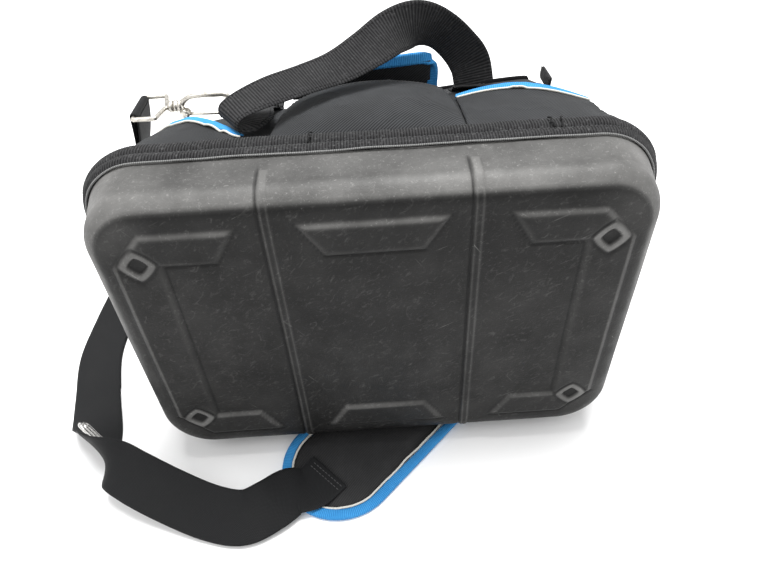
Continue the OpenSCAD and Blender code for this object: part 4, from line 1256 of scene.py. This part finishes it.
def hinge_cloth():
    """Cloth that joins the back panel to the lid, curved round the hinge."""
    x = np.linspace(-176, 176, 60)
    profile = np.array(
        [
            (291.0, -146.4), (295.0, -146.6), (298.2, -145.6), (300.2, -143.0), (301.0, -139.5), (301.1, -135.5),
            (301.0, -131.0),
        ]
    )
    line = curve(np.hstack([profile, profile[:, :1] * 0]), 5)[:, :2]
    outer = np.array([[(px, py, pz) for px in x] for py, pz in line])
    outer[..., 1] += 0.3 * noise(outer, 20, 61)
    inner = outer.copy()
    centre = np.array([0, 294.0, -137.0])
    inward = unit(np.stack([outer[..., 0] * 0, centre[1] - outer[..., 1], centre[2] - outer[..., 2]], axis=-1))
    inner = outer + inward * 1.6
    piece = shell(
        "hinge_cloth", outer, inner, uv=np.stack([outer[..., 0], outer[..., 1] + outer[..., 2]], axis=-1),
        rim_bulge=0.2, material=POLYESTER, body=None, slot="black_fabric",
    )
    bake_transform(piece)


def plate(outline, middle, layers, at, squeeze=1.0):
    """Flat part with chamfered edges: its outline at each (height, scale) of layers, scaled about middle."""
    ring = outline - middle
    grid = np.array([ring * [k, 0, lerp(1, k, squeeze)] + middle + [0, y, 0] for y, k in layers]) + at
    n, total = len(ring), len(ring) * len(layers)
    faces = grid_faces(len(layers), n, True) + [list(range(n)), list(range(total - n, total))[::-1]]
    return grid.reshape(-1, 3), faces, None


PLATE_LAYERS = [(-0.8, 0.9), (-0.5, 1.0), (0.5, 1.0), (0.8, 0.9)]
SLIDER_RUN = unit(np.array([324.0, 7, 27]))
SLIDER_MIDDLE = np.array([0, TOP_Y + 3.2, 71.2])


def zip_slider(side, label):
    """Slider with a waisted body and a wire bail, and its pull tab."""
    origin = SLIDER_MIDDLE + SLIDER_RUN * side * 14
    half = [
        (-4.6, 2.6), (-4.0, 4.4), (-1.4, 3.4), (1.4, 3.4), (4.0, 4.4), (4.6, 2.6),
        (4.2, 0), (4.6, -2.6), (4.0, -4.0), (0, -4.9), (-4.0, -4.0), (-4.6, -2.6),
    ]
    ring = evenly(np.array([(a, 0, b) for a, b in half]), 1.0, closed=True)
    points, faces, _ = plate(ring, np.zeros(3), [(0.0, 0.93), (0.25, 1.0), (1.7, 1.0), (2.0, 0.93)], origin)
    bail = curve([(0, 1.9, 3.0), (0, 4.4, 3.0), (0, 5.6, 1.2), (0, 5.4, -0.8), (0, 3.9, -1.2), (0, 1.9, -1.2)], 6)
    p, f, uv = joined([(points, [face[::-1] for face in faces], None), tube(bail + origin, 0.75, 8)])
    slider = mesh_object(f"slider_{label}", p, f, uv=uv, material=STEEL, body=f"zip_slider_{label}", slot="nickel")
    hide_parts(f"zip_slider_{label}")
    pin = origin + np.array([0, 3.6, -3.4])
    right = [(2.6, -0.1, 0.6), (3.9, 0, -1.5), (4.0, 0.8, -8), (3.8, 1.3, -15)]
    wire = curve([(-x, y, z) for x, y, z in right[::-1]] + [(0, -0.1, 1.0)] + right, 6) + pin
    outline = [
        (-4.6, 0, -13), (4.6, 0, -13), (4.9, 0, -26), (3.6, 0, -33), (0, 0, -34.4), (-3.6, 0, -33), (-4.9, 0, -26),
    ]
    tab = plate(
        evenly(np.array(outline), 1.2, closed=True), np.array([0, 0, -23.5]), PLATE_LAYERS, pin + [0, 1.9, 0], 0.5,
    )
    p, f, uv = joined([tube(wire, 0.9, 8), tab])
    pull = mesh_object(f"pull_{label}", p, f, uv=uv, material=STEEL, body=f"zip_pull_{label}", slot="nickel")
    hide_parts(f"zip_pull_{label}")


# ---------------------------------------------------------------- clips
def at_left(p):
    """Places a clip part at the left ring, whose clip hangs towards -X."""
    return np.asarray(p, float) + CLIP_LEFT


def at_right(p):
    """Places a clip part at the right ring, whose clip hangs towards -Z."""
    p = np.asarray(p, float)
    return np.stack([-p[..., 2], p[..., 1], p[..., 0]], axis=-1) + CLIP_RIGHT


def placed(part, place):
    return place(part[0]), part[1], part[2]


def arc(centre, radius, start, end, count, plane):
    """Points on an arc, between two angles in degrees, in the plane of two directions."""
    t = np.radians(np.linspace(start, end, count))
    a, b = (np.asarray(v, float) for v in plane)
    return np.asarray(centre, float) + radius * (np.outer(np.cos(t), a) + np.outer(np.sin(t), b))


def d_ring():
    """D-shaped wire ring: its bar runs along Y, its bow towards -X."""
    bow = arc((0, 0, 0), 21.5, 97, 263, 30, [(1, 0, 0), (0, 1, 0)])
    corner_a = curve([bow[-1], (-0.6, -21.3, 0), (0, -19.5, 0)], 5)[1:]
    bar = np.array([(0, y, 0) for y in np.linspace(-18, 18, 14)])
    corner_b = curve([(0, 19.5, 0), (-0.6, 21.3, 0), bow[0]], 5)[:-1]
    return tube(np.vstack([bow, corner_a, bar, corner_b]), WIRE_R, 12, closed=True)


RIVET = (-64, -9.6)  # x and z of the gate's rivet


def snap_hook():
    """Cast hook: a flattened bow, a shoulder with a swivel barrel, two ears and the gate's rivet."""
    nose = arc((-23.5, 0, 0), 10.5, -100, 92, 22, [(1, 0, 0), (0, 0, 1)])
    back = curve([
        nose[-1], (-34, 0, 10.9), (-46, 0, 10.4), (-57, 0, 9.2), (-64, 0, 5.6), (-67.5, 0, 2.2), (-69, 0, 0.4),
    ], 7)[1:]
    path = np.vstack([nose, back])
    s = lengths(path)
    radius = 2.75 + 0.5 * np.exp(-(((s - s[-1] * 0.52) / 9) ** 2)) + 0.9 * smoothstep(s[-1] - 10, s[-1], s)
    radius = radius * lerp(0.82, 1.0, smoothstep(0, 5, s))
    bow = tube(path, radius, 12, flatten=0.86, up=(0, 1, 0))
    barrel = lathe(
        [
            (-66.5, 3.2), (-67.2, 5.2), (-68.2, 6.3), (-70.5, 6.5), (-71.2, 5.7), (-72.2, 5.7), (-73, 6.5),
            (-75.2, 6.3), (-75.9, 5.4), (-75.95, 0.01),
        ],
        28,
    )
    parts = [bow, barrel]
    ear = [
        (-71, 0, -5), (-70, 0, -11.4), (-66, 0, -12.9), (-62, 0, -12.4), (-60.6, 0, -8.6), (-62.5, 0, -5.2),
        (-66, 0, -3.2),
    ]
    outline = evenly(np.array(ear), 1.1, closed=True)
    for side in (-1, 1):
        layers = [(-1.0, 0.9), (-0.7, 1.0), (0.7, 1.0), (1.0, 0.9)]
        parts.append(plate(outline, outline.mean(axis=0), layers, np.array([0, side * 4.4, 0])))
        head = [(side * 5.2, 2.1), (side * 5.9, 1.9), (side * 6.3, 1.2), (side * 6.4, 0.01)]
        parts.append(lathe_y(RIVET, head, 14))
    parts.append(tube(np.array([(RIVET[0], y, RIVET[1]) for y in np.linspace(-5.5, 5.5, 5)]), 1.2, 12))
    return joined(parts)


def lathe(profile, sides):
    """Turned part about the X axis from (x, radius) points."""
    angle = np.linspace(0, 2 * math.pi, sides, endpoint=False)
    grid = np.array([[(x, r * math.cos(t), r * math.sin(t)) for t in angle] for x, r in profile])
    points = grid.reshape(-1, 3)
    n = len(points)
    faces = grid_faces(len(profile), sides, True)
    points = np.vstack([points, [(profile[0][0], 0, 0)], [(profile[-1][0], 0, 0)]])
    last = (len(profile) - 1) * sides
    faces += [[n, (i + 1) % sides, i] for i in range(sides)]
    faces += [[n + 1, last + i, last + (i + 1) % sides] for i in range(sides)]
    return points, faces, np.zeros((len(points), 2))


def lathe_y(centre, profile, sides):
    """Turned part about an axis along Y through (x, z)."""
    points, faces, uv = lathe(profile, sides)
    turned = np.stack([points[:, 1] + centre[0], points[:, 0], points[:, 2] + centre[1]], axis=1)
    return turned, [f[::-1] for f in faces], uv


def gate_bar():
    """Sprung gate: a flat-sided bar with a knuckle round the rivet."""
    path = np.array(
        [(-61.2, 0, -9.6), (-56, 0, -9.75), (-45, 0, -10.0), (-34, 0, -10.3), (-29.5, 0, -10.45), (-28.4, 0, -10.5)]
    )
    bar = tube(path, np.array([2.3, 2.35, 2.4, 2.4, 2.35, 1.5]), 10, flatten=0.8)
    knuckle = lathe_y(RIVET, [(-3.0, 2.5), (-2.6, 2.85), (2.6, 2.85), (3.0, 2.5)], 20)
    return joined([bar, knuckle])


def strap_eye():
    """Swivel eye: a stub in the barrel and a wide loop whose bar holds the webbing."""
    half, neck, end = STRAP_W / 2 + 4, -83.4, -EYE_REACH
    outline = [
        (neck, 2.5, 0), (neck - 2.5, 8, 0), (neck - 6.5, half - 3, 0), (neck - 9.5, half, 0),
        (end + 5, half, 0), (end + 0.8, half - 0.8, 0), (end, half - 5, 0),
    ]
    loop = outline + [(x, -y, z) for x, y, z in outline[::-1]]
    wire = tube(curve(loop, 6), WIRE_R, 12)
    stub = lathe(
        [(-76.3, 0.01), (-76.4, 5.6), (-77.2, 6.4), (-80.6, 6.3), (-82.2, 5.2), (-84.6, 3.6), (-85.6, 0.01)], 24,
    )
    return joined([wire, stub])


def clips():
    """Ring, hook, gate and eye at both ends of the shoulder strap."""
    makers = {"ring": d_ring, "hook": snap_hook, "gate": gate_bar, "eye": strap_eye}
    for label, place in (("left", at_left), ("right", at_right)):
        for kind, make in makers.items():
            p, f, uv = placed(make(), place)
            node = f"{kind}_{label}"
            body = "root" if kind == "eye" else node
            paint = STEEL if kind == "ring" else NICKEL
            piece = mesh_object(f"{kind}_metal_{label}", p, f, uv=uv, material=paint, body=body, slot="nickel")
            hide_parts(node)


def ring_tab(label, place, drop):
    """Webbing folded round the bar of a ring and sewn to the bag."""
    gap, reach, half_t = WIRE_R + 0.5 + WEBBING_T / 2, 44, WEBBING_T / 2 + 0.05
    turn = arc((0, 0, 0), gap, 90, 270, 11, [(1, 0, 0), (0, 0, 1)])
    upper = [
        (reach, 0, half_t - drop), (reach - 12, 0, half_t - drop), (reach / 2, 0, half_t - drop * 0.45),
        (8, 0, gap - 0.3),
    ]
    lower = [
        (8, 0, -gap + 0.3), (reach / 2, 0, -half_t - drop * 0.45), (reach - 12, 0, -half_t - drop),
        (reach, 0, -half_t - drop),
    ]
    route = [[np.array(p), (0, 1, 0)] for p in upper + [tuple(t) for t in turn] + lower]
    points, faces, uv, *_ = band(route, 36, WEBBING_T, steps=6, spacing=0.8, lateral=11, relief=handle_ribs)
    piece = mesh_object(
        f"ring_tab_web_{label}", place(points), faces, uv=uv, material=HANDLE_WEB, slot="black_webbing",
    )
    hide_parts(f"ring_tab_{label}")
    rows = []
    for x in (13, 16):
        y = np.linspace(-15, 15, 20)
        sink = np.interp(x, [8, 22], [gap - 0.5, half_t - drop * 0.45])
        line = np.stack([np.full_like(y, x), y, np.full_like(y, sink + 0.95)], axis=1)
        normal = np.tile([0, 0, 1.0], (len(y), 1))
        part = stitches(line, normal, 2.6, 1.2, 0.4)
        rows.append((place(part[0]), part[1], part[2]))
    thread_object(f"ring_tab_stitches_{label}", rows, GREY_THREAD, slot="black_webbing")


# ---------------------------------------------------------------- shoulder strap
LOOP_GAP = WIRE_R + 0.4 + WEBBING_T / 2
LAYER_STEP = WEBBING_T + 0.5
EYE_LEFT, EYE_RIGHT = CLIP_LEFT - [EYE_REACH, 0, 0], CLIP_RIGHT - [0, 0, EYE_REACH]

STRAP_LEFT = [
    [EYE_LEFT + [-LOOP_GAP, 0, 0], (0, 1, 0)], [EYE_LEFT + [-LOOP_GAP - 3, 1, -25], (0, 1, 0)],
    [(-268, 290, 10), (-0.15, 1, 0.05)], [(-288, 300, -60), (-0.4, 0.9, 0.05)],
    [(-312, 298, -115), (-0.8, 0.6, -0.1)], [(-330, 268, -146), (-1, 0.25, -0.05)],
    [(-337, 215, FLAT_STRAP_Z), (-1, 0, 0)], [(-336, 150, FLAT_STRAP_Z), (-1, -0.1, 0)],
    [(-322, 92, FLAT_STRAP_Z), (-1, -0.2, 0)], [(-308, 50, -151), (-0.9, -0.1, 0.15)],
    [(-294, 18, -140.5), (-0.75, 0.35, 0.4)], [(-283, -2, -128), (-0.65, 0.48, 0.55)],
    [(-268, -18, -121), (-0.5, 0.68, 0.5)], [(-242, -34, -127), (-0.25, 0.83, 0.5)],
    [(-203, -52, -138), (0, 0.9, 0.42)], [(-165, -68, -143), (0, 0.85, 0.45)], [(-135, -74, -144), (0, 0.85, 0.4)],
    [(-112, -64, -144), (-0.3, 0.8, 0.3)], [(-94, -50, PAD_TOP_Z + 5), (-0.55, 0.8, 0.18)],
    [(-76, -45, PAD_TOP_Z + 1.6), (-0.7, 0.7, 0)], [(-58, -29, PAD_TOP_Z + 1.6), (-0.7, 0.7, 0)],
]
STRAP_RIGHT = [
    [EYE_RIGHT - [LOOP_GAP, 0, 0], (0, 1, 0)], [(212, 282, -68), (0, 1, 0)], [(229, 280, -88), (0, 1, 0)],
    [(252, 272, -112), (0, 1, 0)], [(264, 256, -138), (-0.1, 1, 0)], [(246, 242, FLAT_STRAP_Z), (-0.3, 1, 0)],
    [(215, 224, FLAT_STRAP_Z), (-0.45, 0.9, 0)], [(178, 200, FLAT_STRAP_Z), (-0.6, 0.8, 0)],
    [(146, 174, PAD_TOP_Z - 1), (-0.7, 0.7, 0)], [(122, 151, PAD_TOP_Z + 1.6), (-0.7, 0.7, 0)],
    [(108, 137, PAD_TOP_Z + 1.6), (-0.7, 0.7, 0)],
]


def returned(route):
    """The same route for the webbing that comes back on the other layer."""
    steps = [2 * LOOP_GAP, 1.3 * LOOP_GAP] + [LAYER_STEP] * (len(route) - 2)
    return [[place, side, step] for (place, side), step in zip(route, steps)]


def strap(label, route, spans, eye):
    """One run of the strap, its return layer round the eye and its stitches."""
    points, faces, uv, path, across, _ = band(route, STRAP_W, WEBBING_T, steps=10, spacing=2.2, lateral=15)
    piece = mesh_object(f"strap_web_{label}", points, faces, uv=uv, material=STRAP_WEB, slot="black_webbing")
    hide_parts(f"strap_{label}")
    back = band(returned(route), STRAP_W, WEBBING_T, steps=10, spacing=2.2, lateral=15, part=spans)
    turn = arc((0, 0, 0), LOOP_GAP, 180, 0, 15, [(1, 0, 0), (0, 0, 1)]) + eye
    loop = band([[t, (0, 1, 0)] for t in turn], STRAP_W, WEBBING_T, steps=3, spacing=1.0, lateral=15)
    p, f, uv = joined([back[:3], loop[:3]])
    piece = mesh_object(f"strap_return_web_{label}", p, f, uv=uv, material=STRAP_WEB, slot="black_webbing")
    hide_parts(f"strap_{label}_return")
    s = lengths(path)
    sewn = []
    for back_off in (5.0, 8.0):
        k = int(np.argmin(np.abs(s - (s[-1] - back_off))))
        a = np.linspace(-1, 1, 24)[:, None] * (STRAP_W / 2 - 2.5)
        line = path[k] + across[k] * a + np.array([0, 0, WEBBING_T / 2 + 0.1])
        sewn.append(stitches(line, np.tile([0, 0, 1.0], (24, 1)), 2.8, 1.2, 0.42))
    thread_object(f"strap_stitches_{label}", sewn, GREY_THREAD, slot="black_webbing")


GLIDE_PLACE = np.array([-277.4, 0.2, -123.9])


def tri_glide():
    """Three-bar glide: a flat rounded frame of wire with its middle bar."""
    half, depth = STRAP_W / 2 + 4, 13
    corner = 5.0
    loop = []
    for sx, sy, start in ((1, 1, 0), (-1, 1, 90), (-1, -1, 180), (1, -1, 270)):
        for t in np.radians(np.linspace(start, start + 90, 7)):
            loop.append(
                (sx * (half - corner) + corner * math.cos(t), sy * (depth - corner) + corner * math.sin(t), 0)
            )
    ring = evenly(np.array(loop), 2.0, closed=True)
    frame_part = tube(ring, 2.1, 10, closed=True, flatten=0.9)
    bar = tube(np.array([(x, 0, 0) for x in np.linspace(-half, half, 12)]), 2.0, 10)
    p, f, uv = joined([frame_part, bar])
    turn = (
        Matrix.Rotation(math.radians(-36), 3, "Z")
        @ Matrix.Rotation(math.radians(36), 3, "Y")
        @ Matrix.Rotation(math.radians(-70), 3, "X")
    )
    p = p @ np.array(turn).T + GLIDE_PLACE
    piece = mesh_object("glide_metal", p, f, uv=uv, material=STEEL, slot="nickel")
    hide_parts("tri_glide")


# ---------------------------------------------------------------- shoulder pad
def on_pad(p):
    """From the pad's own plane, with its length along X, to its place on the ground."""
    c, s = math.cos(math.radians(PAD_TURN)), math.sin(math.radians(PAD_TURN))
    x, y = p[..., 0] * c - p[..., 1] * s, p[..., 0] * s + p[..., 1] * c
    return np.stack([x + PAD_MIDDLE[0], y + PAD_MIDDLE[1], p[..., 2]], axis=-1)


def pad_outline(inset, spacing):
    """Stadium outline of the pad as (points, outward directions)."""
    half, r = (PAD_L - PAD_W) / 2, PAD_W / 2 - inset
    points, out = [], []
    for sign, start in ((1, -90), (-1, 90)):
        for t in np.radians(np.linspace(start, start + 180, 40)):
            d = np.array([math.cos(t), math.sin(t)])
            points.append(np.array([sign * half, 0]) + r * d)
            out.append(d)
    line = evenly(np.hstack([np.array(points), np.array(out)]), spacing, closed=True)
    return line[:, :2], unit(line[:, 2:])


def swell(obj, pressure, cap, floor, frames=20):
    """Fills a closed mesh with air by cloth simulation. No point moves further than cap or below floor."""
    scene = bpy.context.scene
    bpy.context.view_layer.update()
    rest = np.array([v.co for v in obj.data.vertices])
    cloth = obj.modifiers.new("Cloth", "CLOTH")
    settings = cloth.settings
    settings.quality = 6
    settings.mass = 0.25
    settings.tension_stiffness = settings.compression_stiffness = 12
    settings.bending_stiffness = 1.5
    settings.use_pressure = True
    settings.uniform_pressure_force = pressure
    settings.effector_weights.gravity = 0
    scene.frame_start, scene.frame_end = 1, frames
    for step in range(1, frames + 1):
        scene.frame_set(step)
    done = obj.evaluated_get(bpy.context.evaluated_depsgraph_get())
    moved = np.array([v.co for v in done.data.vertices])
    obj.modifiers.remove(cloth)
    scene.frame_set(1)
    step = moved - rest
    reach = np.linalg.norm(step, axis=1, keepdims=True)
    step *= np.minimum(1, cap * MM / np.maximum(reach, 1e-9))
    out = rest + step
    out[:, 2] = np.maximum(out[:, 2], floor * MM)
    obj.data.vertices.foreach_set("co", out.astype(np.float32).ravel())
    obj.data.update()


def pad_cushion():
    """The padded cloth of the shoulder piece, filled by simulation and lightly quilted."""
    step = 4.0
    half_l, half_w = PAD_L / 2 - PAD_BINDING_W - 1, PAD_W / 2 - PAD_BINDING_W - 1
    nx, ny = int(2 * half_l / step), int(2 * half_w / step)
    u, v = np.meshgrid(np.linspace(-1, 1, nx), np.linspace(-1, 1, ny))
    # Square grid pressed into a stadium
    body = half_l - half_w
    x = u * half_l
    end = np.clip((np.abs(x) - body) / half_w, 0, 1)
    y = v * half_w * np.sqrt(np.maximum(1 - end**2, 0.0))
    y = np.where(end >= 1, v * 2.0, y)
    crown = (1 - np.abs(v) ** 3) * (1 - end**4)
    top_z = GROUND_Z + 2.2 + 3.0 * crown
    low_z = np.full_like(x, GROUND_Z + 0.6)
    top = on_pad(np.stack([x, y, top_z], axis=-1))
    low = on_pad(np.stack([x, y, low_z], axis=-1))
    piece = shell("pad_cushion", top, low, uv=np.stack([x, y], axis=-1), material=PAD_CLOTH, slot="black_fabric")
    swell(piece, 1.2, 2.0, floor=GROUND_Z + 0.2)
    p = np.array([vertex.co for vertex in piece.data.vertices]) / MM
    quilted = np.minimum(p[:, 2] + 0.45 * noise(flat(p[:, 0], p[:, 1]), 26, 71), PAD_TOP_Z - 0.5)
    p[:, 2] = np.where(p[:, 2] > GROUND_Z + 3, quilted, p[:, 2])
    piece.data.vertices.foreach_set("co", (p * MM).astype(np.float32).ravel())
    piece.data.update()
    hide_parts("shoulder_pad")


def pad_edges():
    """The folded blue edge and the cream cord, both a little uneven."""
    plan, out = pad_outline(PAD_BINDING_W / 2, 0.6)
    s = lengths(plan)
    place = flat(*plan.T)
    uneven = 0.5 * noise(place, 30, 81)
    a = np.radians(np.linspace(0, 360, 14, endpoint=False))
    width, thick = PAD_BINDING_W / 2, PAD_T / 2
    grid = []
    for t in a:
        w = np.sign(math.cos(t)) * abs(math.cos(t)) ** 0.6 * (width - 0.2) + (uneven if math.cos(t) < 0 else 0)
        h = np.sign(math.sin(t)) * abs(math.sin(t)) ** 0.7 * (thick - 0.5)
        rib = 0.12 * np.sin(2 * math.pi * s / TAPE_PITCH)
        point = plan + out * np.broadcast_to(w, s.shape)[:, None]
        z = GROUND_Z + thick - 0.1 + h + rib * (1 if h > 0 else 0.2)
        grid.append(np.stack([point[:, 0], point[:, 1], z], axis=1))
    grid = on_pad(np.array(grid))
    rows, cols = grid.shape[:2]
    faces = grid_faces(rows, cols, True)
    faces += [[(rows - 1) * cols + i, (rows - 1) * cols + (i + 1) % cols, (i + 1) % cols, i] for i in range(cols)]
    uv = np.stack([np.tile(s, rows), np.repeat(np.degrees(a) * 0.05, cols)], axis=1)
    edge = mesh_object(
        "pad_tape", grid.reshape(-1, 3), [f[::-1] for f in faces], uv=wrapped(uv, s[-1] + 0.6),
        material=BLUE_TAPE, slot="blue_tape",
    )
    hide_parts("pad_binding")
    plan, out = pad_outline(PAD_BINDING_W + 1.3, 1.6)
    wobble = 0.7 * noise(flat(*plan.T), 22, 85) + 0.3 * noise(flat(*plan.T), 7, 86)
    plan = plan + out * wobble[:, None]
    path = on_pad(np.stack([plan[:, 0], plan[:, 1], np.full(len(plan), PAD_TOP_Z - 2.1)], axis=1))
    p, f, uv = tube(path, 1.1, 8, closed=True)
    cord = mesh_object("pad_cord", p, f, uv=uv, material=CREAM_CORD, slot="cream_piping")
    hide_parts("pad_piping")


# ---------------------------------------------------------------- inside
def inside():
    """Board, divider and the strip of tool loops."""
    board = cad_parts["base_board"].data.materials
    board.clear()
    board.append(BOARD)
    u, v = np.meshgrid(np.linspace(-1, 1, 60), np.linspace(-1, 1, 34))
    round_u, round_v = u * np.sqrt(1 - 0.05 * (u * v) ** 2), v * np.sqrt(1 - 0.05 * (u * v) ** 2)
    x, y = 189.5 * round_u, 115 + 94.5 * round_v
    puff = (1 - u**6) * (1 - v**6)
    front = np.stack([x, y, -18.8 + 0.6 * puff + 0.3 * noise(flat(x, y), 40, 91)], axis=-1)
    back = np.stack([x, y, -21.2 - 0.6 * puff], axis=-1)
    piece = shell(
        "divider_cloth", front, back, uv=np.stack([x, y], axis=-1), rim_bulge=0.5, material=LINING,
        slot="black_fabric",
    )
    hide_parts("divider")
    strip_z = BACK_Z + 9.5
    route = [
        [(-160, 192, strip_z + 0.75), (0, 1, 0)], [(0, 192, strip_z + 0.75), (0, 1, 0)],
        [(160, 192, strip_z + 0.75), (0, 1, 0)],
    ]
    strip = band_object(
        "tool_strip_web", route, 34, 1.4, steps=8, spacing=1.0, lateral=9, material=ZIP_TAPE, slot="black_webbing",
    )
    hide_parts("tool_strip")
    parts = []
    for k in range(5):
        centre = np.array([-160 + 64 * (k + 0.5), 192, strip_z + 1.5])
        bow = arc((0, 0, 0), 12.25, 4, 176, 19, [(1, 0, 0), (0, 0, 1)]) + centre
        parts.append(band([[b, (0, 1, 0)] for b in bow], 33.5, 1.4, steps=2, spacing=1.0, lateral=9)[:3])
    p, f, uv = joined(parts)
    loops = mesh_object("tool_loop_web", p, f, uv=uv, material=ZIP_TAPE, slot="black_webbing")
    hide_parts("tool_loops")


# ---------------------------------------------------------------- camera, floor and light
CAMERA_PLACE = Vector((1.6, -340.8, 361.2)) * MM
CAMERA_YAW, CAMERA_PITCH, CAMERA_ROLL = (math.radians(a) for a in (0.56, 41.82, 3.32))
FOCAL_PIXELS, PICTURE_WIDTH, SENSOR = 590, 768, 36


def make_camera():
    """The camera, looking down at the tray floor."""
    forward = Vector(
        (
            math.sin(CAMERA_YAW) * math.cos(CAMERA_PITCH), math.cos(CAMERA_YAW) * math.cos(CAMERA_PITCH),
            -math.sin(CAMERA_PITCH),
        )
    )
    right = Vector((math.cos(CAMERA_YAW), -math.sin(CAMERA_YAW), 0))
    down = forward.cross(right)
    right_rolled = right * math.cos(CAMERA_ROLL) + down * math.sin(CAMERA_ROLL)
    down_rolled = -right * math.sin(CAMERA_ROLL) + down * math.cos(CAMERA_ROLL)
    data = bpy.data.cameras.new("camera")
    data.sensor_width = SENSOR
    data.lens = FOCAL_PIXELS / PICTURE_WIDTH * SENSOR
    data.clip_start, data.clip_end = 0.01, 20
    camera = bpy.data.objects.new("camera", data)
    turn = Matrix((right_rolled, -down_rolled, -forward)).transposed()
    camera.matrix_world = Matrix.Translation(CAMERA_PLACE) @ turn.to_4x4()
    bpy.context.scene.collection.objects.link(camera)
    bpy.context.scene.camera = camera


def area_light(name, place, target, size, power):
    data = bpy.data.lights.new(name, "AREA")
    data.shape = "DISK"
    data.size = size
    data.energy = power
    light = bpy.data.objects.new(name, data)
    light.location = place
    light.rotation_euler = (Vector(target) - Vector(place)).to_track_quat("-Z", "Y").to_euler()
    bpy.context.scene.collection.objects.link(light)


def studio():
    """White floor, white surroundings and two soft lights."""
    half = 6.0
    z = GROUND_Z * MM
    mesh = bpy.data.meshes.new("floor")
    n = 12
    points = [(x, y, z) for y in np.linspace(-half, half, n + 1) for x in np.linspace(-half, half, n + 1)]
    mesh.from_pydata(points, [], grid_faces(n + 1, n + 1, False))
    mesh.materials.append(Paint("studio_floor", (0.93, 0.93, 0.93), 0.65, Specular_IOR_Level=0.2).material)
    floor = bpy.data.objects.new("floor", mesh)
    bpy.context.scene.collection.objects.link(floor)
    world = bpy.data.worlds.new("studio")
    bpy.context.scene.world = world
    world.use_nodes = True
    background = world.node_tree.nodes["Background"]
    background.inputs["Color"].default_value = (1.0, 1.0, 1.0, 1)
    background.inputs["Strength"].default_value = 1.0
    area_light("key", (0.1, 0.45, 2.1), (0, 0.15, 0), 1.3, 74)
    area_light("fill", (-0.9, -1.0, 1.8), (0, 0.1, 0), 1.4, 10)
    bpy.context.scene.view_settings.view_transform = "Standard"


make_camera()
studio()
moulded_tray()
lip_cord()
ribbed_band()
bag_shell()
slip_pocket("left", SLIP_LEFT, 1.5, 6.5)
slip_pocket("right", SLIP_RIGHT, 2.5, 9.5)
cargo_pocket()
cargo_flap()
front_handle()
handle_patches()
back_handle()
lid_panel()
zip_half(0, 1, "body_zip_tape", "root", "body_zip", 0.0)
zip_half(5.6, -1, "lid_zip_tape", "lid", "lid_zip", 1.3)
hinge_cloth()
zip_slider(-1, "left")
zip_slider(1, "right")
clips()
ring_tab("left", at_left, 1)
ring_tab("right", at_right, -16)
strap("left", STRAP_LEFT, 8, EYE_LEFT)
strap("right", STRAP_RIGHT, 3, EYE_RIGHT)
tri_glide()
pad_cushion()
pad_edges()
inside()
